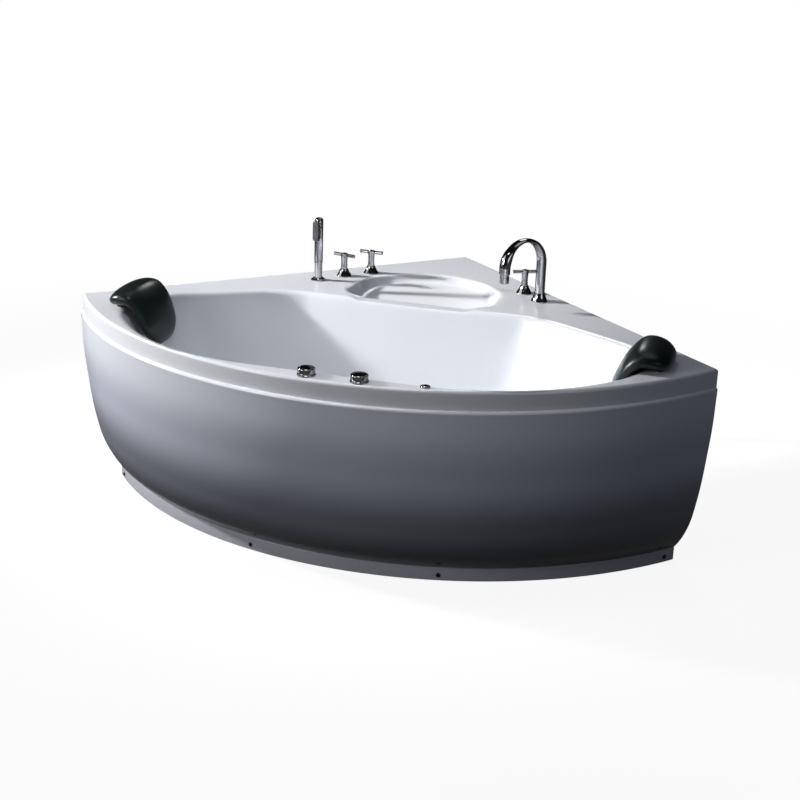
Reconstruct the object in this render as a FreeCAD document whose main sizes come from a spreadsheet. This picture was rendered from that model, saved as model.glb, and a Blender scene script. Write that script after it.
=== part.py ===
import FreeCAD, Part
import math
import os
import re
import Sketcher
from FreeCAD import Placement, Rotation, Vector

# Corner bath with its fittings, in millimetres.
# +X runs from the left pillow to the right one, +Y to the corner of the room, +Z up.
# The origin is on the floor, midway along the width and the depth.

doc = FreeCAD.newDocument("CornerBath")
sheet = doc.addObject("Spreadsheet::Sheet", "Dims")

DIMENSIONS = (
    # tub
    ("wallSide", 1500, "length of the tub along each wall"),
    ("rimBow", 570, "how far the front edge bows out past the line between the wall ends"),
    ("rimHeight", 680, "top of the rim above the floor"),
    ("bandHeight", 58, "height of the plain band round the rim"),
    ("ledgeOut", 11, "how far the apron's top ledge stands out past the band"),
    ("shellWall", 6, "acrylic with its backing"),
    ("edgeRound", 7, "rounding of the rim's outer edge"),
    ("floorTop", 230, "top of the basin floor"),
    ("recessDrop", 52, "depth of the corner shelf at its front"),
    # apron and base
    ("apronWall", 5, "apron sheet"),
    ("stripHeight", 46, "height of the base strip"),
    ("stripWall", 18, "thickness of the base strip"),
    ("stripSetback", 198, "how far the base strip stands behind the rim"),
    ("apronReturn", 30, "depth of the apron's turned-in top"),
    # frame and feet
    ("railSide", 30, "square tube of the support frame"),
    ("railWall", 3, "wall of the square tube"),
    ("railBottom", 62, "underside of the bottom rails"),
    ("footRadius", 24, "levelling foot pad"),
    ("studRadius", 6, "levelling foot stud"),
    ("boardThick", 16, "board under the basin floor"),
    # hand shower
    ("showerX", -395, "hand shower place"),
    ("showerY", 256, "hand shower place"),
    ("showerRadius", 15, "hand shower barrel"),
    ("showerTop", 225, "top of the hand shower above the deck"),
    ("holderRadius", 26, "flange of the shower holder"),
    # valves
    ("hotX", -330, "hot valve place"),
    ("hotY", 348, "hot valve place"),
    ("coldX", -255, "cold valve place"),
    ("coldY", 430, "cold valve place"),
    ("diverterX", 325, "diverter place"),
    ("diverterY", 382, "diverter place"),
    ("bellRadius", 27, "flared base of a valve"),
    ("bellHeight", 27, "height of the flared base"),
    ("stemRadius", 12, "handle stem"),
    ("barHeight", 77, "axis of the handle bar above the deck"),
    ("barRadius", 6.5, "handle bar"),
    ("barLength", 86, "handle bar"),
    # spout
    ("spoutX", 397, "spout place"),
    ("spoutY", 299, "spout place"),
    ("spoutTurn", 238, "direction of the outlet, degrees from +X"),
    ("spoutReach", 176, "base axis to outlet axis"),
    ("spoutTop", 229, "top of the gooseneck above the deck"),
    ("outletHeight", 88, "outlet above the deck"),
    ("neckRadius", 17, "gooseneck at its foot"),
    # front rim fittings
    ("knobRadius", 27, "air regulator"),
    ("knobHeight", 23, "air regulator above the rim"),
    ("firstKnobX", -54, "first air regulator"),
    ("firstKnobY", -773, "first air regulator"),
    ("secondKnobX", 106, "second air regulator"),
    ("secondKnobY", -772, "second air regulator"),
    ("buttonX", 294, "air switch button"),
    ("buttonY", -748, "air switch button"),
    ("buttonRadius", 15, "air switch collar"),
    # pillows
    ("pillowX", 835, "pillow saddle, at the end of the basin"),
    ("pillowY", -272, "pillow centre line"),
    ("pillowHalfWidth", 122, "half the width of a pillow"),
    # waste
    ("wasteX", 0, "waste place"),
    ("wasteY", -470, "waste place"),
    ("wasteRadius", 21, "bore of the waste tail"),
    ("plugLift", 9, "lift of the pop-up plug"),
    # massage system
    ("jetRadius", 27, "jet face ring"),
    ("jetHeight", 330, "height of the jets"),
    ("pipeRadius", 16, "massage water pipe"),
)

for row, (alias, size, remark) in enumerate(DIMENSIONS, start=1):
    sheet.set("A%d" % row, alias)
    sheet.set("B%d" % row, str(size))
    sheet.set("C%d" % row, remark)
    sheet.setAlias("B%d" % row, alias)
doc.recompute()

kept = []  # the sub-parts, in the order in which they are made


def size(alias):
    return float(sheet.get(alias))


# ---------------------------------------------------------------- helpers

def bound(text):
    # an expression on the sheet's aliases, as other objects have to write it
    return re.sub(r"\b[a-z]\w*[A-Z]\w*", lambda word: "Dims." + word.group(0), str(text))


def number(text):
    return float(sheet.evalExpression(str(text)))


def keep(part, label):
    part.Label = label
    kept.append(part)
    return part


def place(part, x="0", y="0", z="0", turn=None):
    if turn is not None:
        part.Placement = Placement(Vector(0, 0, 0), turn)
    part.setExpression(".Placement.Base.x", bound(x))
    part.setExpression(".Placement.Base.y", bound(y))
    part.setExpression(".Placement.Base.z", bound(z))
    return part


def origin_plane(body, role):
    for feature in body.Origin.OriginFeatures:
        if feature.Role == role:
            return feature


def new_sketch(body, name, role, lift="0"):
    sketch = body.newObject("Sketcher::SketchObject", name)
    sketch.AttachmentSupport = [(origin_plane(body, role), "")]
    sketch.MapMode = "FlatFace"
    if lift != "0":
        sketch.setExpression(".AttachmentOffset.Base.z", bound(lift))
    return sketch


def fix_point(sketch, edge, end, across, up):
    # ties one point of the sketch to the origin by two sizes
    for kind, text, axis in (("DistanceX", across, -2), ("DistanceY", up, -1)):
        if str(text) == "0":
            sketch.addConstraint(Sketcher.Constraint("PointOnObject", edge, end, axis))
        else:
            index = sketch.addConstraint(
                Sketcher.Constraint(kind, -1, 1, edge, end, number(text)))
            sketch.setExpression("Constraints[%d]" % index, bound(text))


def closed_outline(sketch, corners):
    # each corner is (across, up) or (across, up, radius): with a radius, the edge that
    # leaves the corner is an arc, bulging to the left of its direction when positive
    count = len(corners)
    points = [Vector(number(c[0]), number(c[1]), 0) for c in corners]
    ends = []
    for i, corner in enumerate(corners):
        start, finish = points[i], points[(i + 1) % count]
        if len(corner) > 2:
            radius = number(corner[2])
            chord = finish - start
            half = chord.Length / 2
            rise = abs(radius) - math.sqrt(max(radius * radius - half * half, 0.0))
            side = Vector(-chord.y, chord.x, 0).normalize() * math.copysign(rise, radius)
            middle = (start + finish) * 0.5 + side
            # a sketch keeps its arcs anticlockwise
            if radius < 0:
                edge = sketch.addGeometry(Part.Arc(start, middle, finish))
                ends.append((edge, 1, 2))
            else:
                edge = sketch.addGeometry(Part.Arc(finish, middle, start))
                ends.append((edge, 2, 1))
            index = sketch.addConstraint(Sketcher.Constraint("Radius", edge, abs(radius)))
            sketch.setExpression("Constraints[%d]" % index, bound(str(corner[2]).lstrip("-")))
        else:
            edge = sketch.addGeometry(Part.LineSegment(start, finish))
            ends.append((edge, 1, 2))
    for i in range(count):
        edge, _, last = ends[i]
        following, first, _ = ends[(i + 1) % count]
        sketch.addConstraint(Sketcher.Constraint("Coincident", edge, last, following, first))
    for i, corner in enumerate(corners):
        fix_point(sketch, ends[i][0], ends[i][1], corner[0], corner[1])


def turned(label, corners):
    # a piece turned about its own Z axis from half a cross-section
    body = doc.addObject("PartDesign::Body", label)
    sketch = new_sketch(body, label + "_section", "XZ_Plane")
    closed_outline(sketch, corners)
    revolution = body.newObject("PartDesign::Revolution", label + "_turn")
    revolution.Profile = sketch
    revolution.ReferenceAxis = (sketch, ["V_Axis"])
    revolution.Angle = 360
    sketch.Visibility = False
    return keep(body, label)


def round_sketch(body, name, role, radius, across="0", up="0", lift="0"):
    sketch = new_sketch(body, name, role, lift)
    centre = Vector(number(across), number(up), 0)
    edge = sketch.addGeometry(Part.Circle(centre, Vector(0, 0, 1), number(radius)))
    fix_point(sketch, edge, 3, across, up)
    index = sketch.addConstraint(Sketcher.Constraint("Radius", edge, number(radius)))
    sketch.setExpression("Constraints[%d]" % index, bound(radius))
    return sketch


def pad(body, name, sketch, length, midplane=False, reverse=False):
    feature = body.newObject("PartDesign::Pad", name)
    feature.Profile = sketch
    feature.Length = number(length)
    feature.setExpression("Length", bound(length))
    feature.Midplane = midplane
    feature.Reversed = reverse
    return feature


def pocket(body, name, sketch, length, reverse=False):
    doc.recompute()
    before = body.Shape.Volume
    feature = body.newObject("PartDesign::Pocket", name)
    feature.Profile = sketch
    feature.Length = number(length)
    feature.setExpression("Length", bound(length))
    feature.Reversed = reverse
    doc.recompute()
    assert body.Shape.Volume < before - 1, name + " cuts nothing"
    return feature


# ---------------------------------------------------------------- plan of the tub

HALF = "(wallSide / sqrt(2))"
RIM_RADIUS = "((%s ^ 2 + rimBow ^ 2) / (2 * rimBow))" % HALF
CORNER_Y = "((%s + rimBow + ledgeOut) / 2)" % HALF
ARC_Y = "(%s - %s - rimBow + %s)" % (CORNER_Y, HALF, RIM_RADIUS)
BAND_FOOT = "(rimHeight - bandHeight)"

# heights of the apron's sections and how far each stands behind the rim
APRON_LEVELS = (
    ("A", 46, 198), ("B", 75, 163), ("C", 112, 127), ("D", 160, 93), ("E", 220, 66),
    ("F", 300, 39), ("G", 400, 16), ("H", 500, -3), ("J", 570, -8), ("K", 622, -11),
)
first_row = len(DIMENSIONS) + 1
for step, (letter, height, setback) in enumerate(APRON_LEVELS):
    for column, (alias, value) in enumerate(
            (("apronHeight" + letter, height), ("apronSetback" + letter, setback))):
        cell = "B%d" % (first_row + 2 * step + column)
        sheet.set(cell, str(value))
        sheet.setAlias(cell, alias)
doc.recompute()


def sector_sketch(body, name, lift, setback="0", grow="0", beyond="0"):
    # the tub's plan: two wall sides at 45 degrees and the bowed front, optionally
    # set back, with a larger or smaller front radius, and with the walls moved out
    sketch = new_sketch(body, name, "XY_Plane", lift)
    centre_text = "%s + (%s)" % (ARC_Y, setback)
    radius_text = "%s + (%s)" % (RIM_RADIUS, grow)
    apex_text = "%s + (%s)" % (CORNER_Y, beyond)
    centre_y, radius, apex_y = number(centre_text), number(radius_text), number(apex_text)
    gap = apex_y - centre_y
    # where the wall line y = apex - x meets the front circle
    side_x = (gap + math.sqrt(2 * radius * radius - gap * gap)) / 2
    side_y = apex_y - side_x
    left, right = Vector(-side_x, side_y, 0), Vector(side_x, side_y, 0)
    apex = Vector(0, apex_y, 0)
    front = sketch.addGeometry(Part.Arc(left, Vector(0, centre_y - radius, 0), right))
    at_left, at_right = 1, 2
    right_wall = sketch.addGeometry(Part.LineSegment(right, apex))
    left_wall = sketch.addGeometry(Part.LineSegment(apex, left))
    add = sketch.addConstraint
    add(Sketcher.Constraint("Coincident", front, at_right, right_wall, 1))
    add(Sketcher.Constraint("Coincident", right_wall, 2, left_wall, 1))
    add(Sketcher.Constraint("Coincident", left_wall, 2, front, at_left))
    add(Sketcher.Constraint("PointOnObject", front, 3, -2))
    add(Sketcher.Constraint("PointOnObject", right_wall, 2, -2))
    add(Sketcher.Constraint("Angle", right_wall, math.radians(135)))
    add(Sketcher.Constraint("Angle", left_wall, math.radians(225)))
    for kind, edge, end, text in (
            ("DistanceY", front, 3, centre_text), ("DistanceY", right_wall, 2, apex_text)):
        index = add(Sketcher.Constraint(kind, -1, 1, edge, end, number(text)))
        sketch.setExpression("Constraints[%d]" % index, bound(text))
    index = add(Sketcher.Constraint("Radius", front, radius))
    sketch.setExpression("Constraints[%d]" % index, bound(radius_text))
    return sketch


def sector_loft(body, name, kind, levels, grow="0", beyond="0"):
    sketches = [
        sector_sketch(body, "%s_%d" % (name, i), lift, setback, grow, beyond)
        for i, (lift, setback) in enumerate(levels)]
    loft = body.newObject("PartDesign::" + kind, name)
    loft.Profile = sketches[0]
    loft.Sections = sketches[1:]
    loft.Ruled = False
    return loft


def make_apron():
    # a thin bulged sheet: a lofted outside, less a lofted inside, less the open top
    body = doc.addObject("PartDesign::Body", "apron")
    levels = [("apronHeight" + k, "apronSetback" + k) for k, _, _ in APRON_LEVELS]
    sector_loft(body, "apron_outside", "AdditiveLoft", levels)
    inner = [("apronHeightA - 1", "apronSetbackA")] + levels[1:-1]
    inner += [("apronHeightK - apronWall", "apronSetbackK")]
    doc.recompute()
    sector_loft(body, "apron_inside", "SubtractiveLoft", inner, "-apronWall", "300")
    doc.recompute()
    throat = sector_sketch(
        body, "apron_throat", "apronHeightK + 1", "apronSetbackK", "-apronReturn", "300")
    pocket(body, "apron_open_top", throat, "apronWall + 3")
    return keep(body, "apron")


def make_base_strip():
    body = doc.addObject("PartDesign::Body", "base_strip")
    outside = sector_sketch(body, "strip_outside", "0", "stripSetback")
    pad(body, "strip_block", outside, "stripHeight")
    inside = sector_sketch(
        body, "strip_inside", "stripHeight", "stripSetback", "-stripWall", "300")
    pocket(body, "strip_hollow", inside, "stripHeight")
    return keep(body, "base_strip")


apron = make_apron()
base_strip = make_base_strip()


# ---------------------------------------------------------------- basin and shelf outlines

# corners of the rounded outlines, right half from the back to the front: x, y, rounding
RIM_CORNERS = ((439, 76, 300), (952, -232, 240), (567, -732, 650))
SHELF_CORNERS = ((265, 119, 85), (257, 355, 195), (127, 494, 240))
# how far the basin's sides come in from its edge to its floor, from the back to the front,
# and the rounding of the floor's corners
SIDE_FALLS = (132, 180, 230, 103)
FLOOR_ROUNDINGS = (250, 190, 480)

# height above the floor of the room, and how far from the edge (0) to the basin floor (1)
WALL_PROFILE = ((681, -0.10), (670, -0.01), (600, 0.12), (430, 0.385), (290, 0.71),
                (240, 0.94), (230, 1.12))
# inset of the shelf's outline, and depth as a share of the whole, from the deck down
SHELF_PROFILE = ((-2, -0.04), (5, 0.10), (20, 0.60), (46, 1.0))


def rounded_outline(corners, height, grow=0.0):
    # a closed wire of straight sides and tangent arcs, moved outwards by grow
    full = list(corners) + [(-x, y, r) for x, y, r in reversed(corners)]
    points = [Vector(x, y, 0) for x, y, _ in full]
    count = len(full)
    joints = []
    for i, (_, _, rounding) in enumerate(full):
        back = (points[i - 1] - points[i]).normalize()
        ahead = (points[(i + 1) % count] - points[i]).normalize()
        half = back.getAngle(ahead) / 2
        inwards = (back + ahead).normalize()
        corner = points[i] - inwards * (grow / math.sin(half))
        corner.z = height
        radius = rounding + grow
        reach = radius / math.tan(half)
        middle = corner + inwards * (radius / math.sin(half) - radius)
        joints.append((corner + back * reach, middle, corner + ahead * reach))
    edges = []
    for i, (start, middle, end) in enumerate(joints):
        edges.append(Part.Arc(start, middle, end).toShape())
        edges.append(Part.LineSegment(end, joints[(i + 1) % count][0]).toShape())
    return Part.Wire(edges)


def crossing(first, second):
    # where two lines in the plan meet; each is (point, direction)
    (p, d), (q, e) = first, second
    scale = ((q.x - p.x) * e.y - (q.y - p.y) * e.x) / (d.x * e.y - d.y * e.x)
    return Vector(p.x + d.x * scale, p.y + d.y * scale, p.z)


def basin_corners(share):
    # the basin's corners part of the way from its edge to its floor: each side keeps
    # its direction and comes in by its own share
    rim = [Vector(x, y, 0) for x, y, _ in RIM_CORNERS]
    starts = [Vector(0, rim[0].y, 0)] + rim
    lines = []
    for i, fall in enumerate(SIDE_FALLS):
        end = rim[i] if i < 3 else Vector(0, rim[2].y, 0)
        along = (end - starts[i]).normalize()
        lines.append((starts[i] + Vector(along.y, -along.x, 0) * (fall * share), along))
    corners = [crossing(lines[i], lines[i + 1]) for i in range(3)]
    return [(c.x, c.y, edge[2] + (floor - edge[2]) * share)
            for c, edge, floor in zip(corners, RIM_CORNERS, FLOOR_ROUNDINGS)]


def basin_share(height):
    for (upper, near), (lower, far) in zip(WALL_PROFILE, WALL_PROFILE[1:]):
        if lower <= height <= upper:
            return near + (far - near) * (upper - height) / (upper - lower)
    raise ValueError("no basin wall at this height")


def basin_solid(grow=0, drop=0, levels=WALL_PROFILE):
    sections = [rounded_outline(basin_corners(share), height - drop, grow)
                for height, share in levels]
    return Part.makeLoft(sections, True, True)


def shelf_solid(grow, drop):
    # the recess is deepest behind its front lip and rises gently to the back
    deck, depth = number("rimHeight"), size("recessDrop")
    front = SHELF_CORNERS[0][1]
    length = SHELF_CORNERS[-1][1] - front
    sections = []
    for inset, share in SHELF_PROFILE:
        outline = rounded_outline(SHELF_CORNERS, 0, grow - inset)
        rise = depth * max(share, 0) * 0.72
        outline.rotate(Vector(0, front, 0), Vector(1, 0, 0), math.degrees(math.atan(rise / length)))
        outline.translate(Vector(0, 0, deck - depth * share - drop))
        sections.append(outline)
    return Part.makeLoft(sections, True, True)


def sector_face(grow, height):
    # the rim's plan, grown by the same distance on all three sides
    centre_y = number(ARC_Y)
    radius = number(RIM_RADIUS) + grow
    apex_y = number(CORNER_Y) + grow * math.sqrt(2)
    gap = apex_y - centre_y
    side_x = (gap + math.sqrt(2 * radius * radius - gap * gap)) / 2
    left = Vector(-side_x, apex_y - side_x, height)
    right = Vector(side_x, apex_y - side_x, height)
    apex = Vector(0, apex_y, height)
    front = Part.Arc(left, Vector(0, centre_y - radius, height), right).toShape()
    sides = [Part.LineSegment(right, apex).toShape(), Part.LineSegment(apex, left).toShape()]
    return Part.Face(Part.Wire([front] + sides))


def side_spot(side, along, height):
    # a place on one straight side of the basin's wall, and the direction facing into
    # the basin there; side 0 is the back, 1 and 2 follow on the right, -1 and -2 on the left
    def corner_pair(level):
        corners = [Vector(x, y, level) for x, y, _ in basin_corners(basin_share(level))]
        if side == 0:
            return Vector(-corners[0].x, corners[0].y, level), corners[0]
        return corners[abs(side) - 1], corners[abs(side)]

    def spot(level):
        start, end = corner_pair(level)
        return start + (end - start) * along

    start, end = corner_pair(height)
    level_line = (end - start).normalize()
    # the wall's own slope, straight down at this place
    upper, lower = spot(height + 12), spot(height - 12)
    slope = lower - upper
    facing = level_line.cross(slope).normalize()
    inwards = Vector(0, -300, height) - spot(height)
    if facing.dot(inwards) < 0:
        facing = -facing
    place_at = spot(height)
    if side < 0:
        place_at.x, facing.x = -place_at.x, -facing.x
    return place_at, facing


def front_spot(height):
    # the middle of the front wall at a height
    corners = basin_corners(basin_share(height))
    above = basin_corners(basin_share(height + 12))[2][1]
    below = basin_corners(basin_share(height - 12))[2][1]
    facing = Vector(0, 24, below - above).normalize()
    return Vector(0, corners[2][1], height), facing


def rod(start, end, radius):
    return Part.makeCylinder(radius, (end - start).Length, start, end - start)


def pipe_run(points, radius):
    # round pipe along straight runs with mitred corners
    spine = Part.makePolygon(points)
    ring = Part.Wire(Part.makeCircle(radius, points[0], points[1] - points[0]))
    return spine.makePipeShell([ring], True, False, 1)


def coded(label, shape):
    # a sub-part whose shape comes from the functions above
    part = doc.addObject("Part::Feature", label)
    part.Shape = shape
    return keep(part, label)


# ---------------------------------------------------------------- bath shell

# places on the deck as the sheet's words, and the radius of the hole under each fitting
DECK_HOLES = (
    ("showerX", "showerY", 20.5), ("hotX", "hotY", 12), ("coldX", "coldY", 12),
    ("diverterX", "diverterY", 12), ("spoutX", "spoutY", 14),
    ("firstKnobX", "firstKnobY", 17.5), ("secondKnobX", "secondKnobY", 17.5),
    ("buttonX", "buttonY", 12.6),
)
JET_PLACES = ((-1, 0.33), (0, 0.28), (0, 0.72), (1, 0.33))
JET_HOLE = 20.3
SUCTION_ALONG, SUCTION_HEIGHT = 0.2, 265
OVERFLOW_HEIGHT = 560


def jet_spots():
    return [side_spot(side, along, size("jetHeight")) for side, along in JET_PLACES]


def lip_solid(grow, drop):
    # the strip between the shelf and the basin lies a little lower than the deck
    corners = ((238, 58, 26), (238, 146, 26))
    deck = number("rimHeight")
    sections = [rounded_outline(corners, deck + lift - drop, grow + out)
                for lift, out in ((1, 10), (-2, 5), (-9, -4))]
    return Part.makeLoft(sections, True, True)


def make_bath_shell():
    # the deck and its band, with the basin and the corner shelf drawn down from it
    deck, wall, band = number("rimHeight"), size("shellWall"), size("bandHeight")
    lid = sector_face(0, deck - band).extrude(Vector(0, 0, band))
    rim_edges = [e for e in lid.Edges if min(v.Z for v in e.Vertexes) > deck - 1]
    lid = lid.makeFillet(size("edgeRound"), rim_edges)
    hollow = sector_face(-wall, deck - band - 1).extrude(Vector(0, 0, band - wall + 1))
    shell = lid.cut(hollow)
    outer_levels = WALL_PROFILE[:1] + WALL_PROFILE[2:]
    shell = shell.fuse([basin_solid(wall, wall, outer_levels), shelf_solid(wall, wall),
                        lip_solid(wall, wall)])
    shell = shell.cut([basin_solid(), shelf_solid(0, 0), lip_solid(0, 0)])
    cutters = [Part.makeCylinder(radius, 60, Vector(size(x), size(y), deck - 50))
               for x, y, radius in DECK_HOLES]
    waste = Vector(size("wasteX"), size("wasteY"), size("floorTop"))
    cutters.append(Part.makeCylinder(size("wasteRadius") + 4.5, 40, waste - Vector(0, 0, 20)))
    for spot, facing in jet_spots() + [suction_spot()]:
        cutters.append(rod(spot - facing * 30, spot + facing * 10, JET_HOLE))
        cutters.append(rod(spot, spot + facing * 10, size("jetRadius") + 0.4))
    spot, facing = front_spot(OVERFLOW_HEIGHT)
    cutters.append(rod(spot - facing * 30, spot + facing * 10, 16.3))
    return coded("bath_shell", shell.cut(cutters).removeSplitter())


def suction_spot():
    return side_spot(0, SUCTION_ALONG, SUCTION_HEIGHT)


make_bath_shell()


# ---------------------------------------------------------------- strip screws and base board

STRIP_SCREW_X = (-951, -310, 310, 951)


def make_strip_screws():
    # domed heads on the strip's face, each square to it
    centre_y = number(ARC_Y) + size("stripSetback")
    radius = number(RIM_RADIUS)
    heads = []
    for x in STRIP_SCREW_X:
        y = centre_y - math.sqrt(radius * radius - x * x)
        out = Vector(x, y - centre_y, 0).normalize()
        face = Vector(x, y, 19)
        heads.append(rod(face, face + out * 5, 7.5))
    return coded("base_strip_screws", Part.makeCompound(heads))


def make_base_board():
    body = doc.addObject("PartDesign::Body", "base_board")
    sketch = new_sketch(body, "board_outline", "XY_Plane")
    closed_outline(sketch, [(-380, -230), (380, -230), (380, 230), (-380, 230)])
    pad(body, "board_sheet", sketch, "boardThick")
    hole = round_sketch(body, "board_hole", "XY_Plane", "wasteRadius + 12", "wasteX",
                        "wasteY + 345", "boardThick")
    pocket(body, "board_waste_hole", hole, "boardThick")
    keep(body, "base_board")
    return place(body, "0", "-345", "floorTop - shellWall - boardThick")


make_strip_screws()
make_base_board()


# ---------------------------------------------------------------- support frame and feet

# corners of the rails along the walls: the room's corner, the elbow and the tip
WALL_RAIL = ((0, 760), (700, 60), (890, -130))
FRONT_RAIL_Y, FRONT_RAIL_X = -480, 470
CROSS_RAILS = ((-130, 875), (190, 555))
FOOT_PLACES = ((0, 760), (-700, 60), (700, 60), (-400, -480), (400, -480))
BOARD_POSTS = ((-250, -480), (250, -480), (-300, -130), (300, -130))


def square_bar(start, end, side):
    # a square bar between two points in the plan, or upright
    along = (end - start)
    if abs(along.z) > 1:
        return Part.makeBox(side, side, along.Length, start - Vector(side / 2, side / 2, 0))
    bar = Part.makeBox(along.Length, side, side, Vector(0, -side / 2, -side / 2))
    bar.Placement = Placement(start, Rotation(Vector(1, 0, 0), along))
    return bar


def frame_runs(height):
    apex, elbow, tip = [Vector(x, y, height) for x, y in WALL_RAIL]
    front = Vector(FRONT_RAIL_X, FRONT_RAIL_Y, height)
    runs = []
    for side in (-1, 1):
        turned_over = [Vector(side * p.x, p.y, p.z) for p in (apex, tip, front)]
        runs += [(turned_over[0], turned_over[1]), (turned_over[1], turned_over[2])]
    runs.append((Vector(-FRONT_RAIL_X, FRONT_RAIL_Y, height), front))
    runs.append((apex, Vector(0, FRONT_RAIL_Y, height)))
    for y, x in CROSS_RAILS:
        runs.append((Vector(-x, y, height), Vector(x, y, height)))
    return runs


def make_support_frame():
    # welded square tube: bottom rails, posts under the board and tall posts under the deck
    side, wall = size("railSide"), size("railWall")
    bottom = size("railBottom")
    middle = bottom + side / 2
    runs = frame_runs(middle)
    under_board = number("floorTop - shellWall - boardThick")
    under_deck = number("rimHeight - shellWall")
    posts = [(x, y, under_board) for x, y in BOARD_POSTS]
    posts.append((*WALL_RAIL[0], under_deck))
    posts += [(side * x, y, under_deck) for x, y in WALL_RAIL[1:] for side in (-1, 1)]
    outside, inside = [], []
    for start, end in runs:
        along = (end - start).normalize()
        outside.append(square_bar(start - along * (side / 2), end + along * (side / 2), side))
        inside.append(square_bar(start - along * (side / 2 - wall),
                                 end + along * (side / 2 - wall), side - 2 * wall))
    for x, y, top in posts:
        outside.append(square_bar(Vector(x, y, bottom), Vector(x, y, top), side))
        inside.append(square_bar(Vector(x, y, bottom + wall), Vector(x, y, top - wall),
                                 side - 2 * wall))
    frame = outside[0].fuse(outside[1:]).cut(inside)
    bores = [Part.makeCylinder(size("studRadius") + 0.05, wall + 2, Vector(x, y, bottom - 1))
             for x, y in FOOT_PLACES]
    return coded("support_frame", frame.cut(bores).removeSplitter())


def make_feet():
    for index, (x, y) in enumerate(FOOT_PLACES, start=1):
        foot = turned("levelling_foot_%d" % index, [
            ("0", "0"), ("footRadius", "0"), ("footRadius", "7"), ("studRadius", "7"),
            ("studRadius", "85"), ("0", "85")])
        place(foot, str(x), str(y))


make_support_frame()
make_feet()


# ---------------------------------------------------------------- pillows

# right pillow, from the tip of its nose over the deck to the low tip inside the basin:
# the underside and the outside of each station in the plane across the tub's end
# (x, height), and half the station's width along the tub's end
PILLOW_GAP = 1.5
PILLOW_STATIONS = (
    ((929, 689), (931, 705), 52), ((910, 683), (913, 730), 100), ((880, 683), (882, 756), 120),
    ((846, 680), (832, 755), 122), ((822, 657), (797, 717), 118), ((808, 622), (767, 663), 111),
    ((793, 588), (748, 605), 97), ((775, 558), (762, 552), 52),
)


def pillow_section(under, outer, half_width):
    # an oval of four tangent arcs across the line from the underside to the outside
    low, high = Vector(under[0], 0, under[1]), Vector(outer[0], 0, outer[1])
    middle = (low + high) * 0.5
    up = (high - low).normalize()
    along = Vector(0, 1, 0)
    short, wide = (high - low).Length / 2, half_width
    # radius of the tight ends, and of the long sides that meet them
    tight = short * 0.62
    flat = (wide * wide - 2 * wide * tight + short * short) / (2 * (short - tight))
    turn = math.atan2(wide - tight, flat - short)
    meet = Vector(wide - tight + tight * math.sin(turn), tight * math.cos(turn), 0)

    def spot(across, rise):
        return middle + along * across + up * rise

    edges = []
    for first, via, last in (
            ((-meet.x, meet.y), (0, short), (meet.x, meet.y)),
            ((meet.x, meet.y), (wide, 0), (meet.x, -meet.y)),
            ((meet.x, -meet.y), (0, -short), (-meet.x, -meet.y)),
            ((-meet.x, -meet.y), (-wide, 0), (-meet.x, meet.y))):
        edges.append(Part.Arc(spot(*first), spot(*via), spot(*last)).toShape())
    return Part.Wire(edges)


def make_pillow(label, side):
    sections = [pillow_section(*station) for station in PILLOW_STATIONS]
    pillow = Part.makeLoft(sections, True, True)
    # its underside follows the end of the basin and the deck behind it
    wall = Part.makeBox(400, 600, 281, Vector(700, -600, 400)).cut(basin_solid(-PILLOW_GAP))
    wall.translate(Vector(0, -size("pillowY"), 0))
    pillow = max(pillow.cut(wall).Solids, key=lambda solid: solid.Volume)
    if side < 0:
        pillow = pillow.mirror(Vector(0, 0, 0), Vector(1, 0, 0))
    return place(coded(label, pillow), "0", "pillowY", "0")


def make_pillow_cups(label, side):
    # two suction cups under the nose, their stems in the pillow
    deck = number("rimHeight")
    cups = []
    for y in (-60, 60):
        foot = Vector(side * 897, y, deck + 0.3)
        cups.append(Part.makeCylinder(12, 14, foot))
    return place(coded(label, Part.makeCompound(cups)), "0", "pillowY", "0")


make_pillow("pillow_left", -1)
make_pillow("pillow_right", 1)
make_pillow_cups("pillow_left_cups", -1)
make_pillow_cups("pillow_right_cups", 1)


# ---------------------------------------------------------------- hand shower

SPRAY_DIRECTION = 225


def make_hand_shower():
    holder = turned("shower_holder", [
        ("0", "-58"), ("0", "-66"), ("20", "-66"), ("20", "0"), ("holderRadius", "0"),
        ("holderRadius", "4"), ("showerRadius + 3", "10"), ("showerRadius - 1.44", "10"),
        ("showerRadius - 1.44", "-58")])
    place(holder, "showerX", "showerY", "rimHeight")
    stick = turned("hand_shower", [
        ("0", "-57.5"), ("showerRadius - 1.5", "-57.5"), ("showerRadius - 1.5", "60"),
        ("showerRadius", "63"), ("showerRadius", "showerTop - 6"),
        ("showerRadius - 6", "showerTop"), ("0", "showerTop")])
    place(stick, "showerX", "showerY", "rimHeight")
    # the dark spray plate wraps the front of the barrel
    plate = Part.makeBox(14, 28, 69, Vector(5, -14, 143))
    plate = plate.makeFillet(4, [e for e in plate.Edges if e.BoundBox.XMin > 18 and
                                 e.BoundBox.XMax > 18])
    plate = plate.cut(Part.makeCylinder(size("showerRadius") + 0.02, 300))
    plate.rotate(Vector(0, 0, 0), Vector(0, 0, 1), SPRAY_DIRECTION)
    place(coded("hand_shower_face", plate), "showerX", "showerY", "rimHeight")


make_hand_shower()


# ---------------------------------------------------------------- valves

VALVES = (("hot", -15), ("cold", -3), ("diverter", 27))


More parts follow.
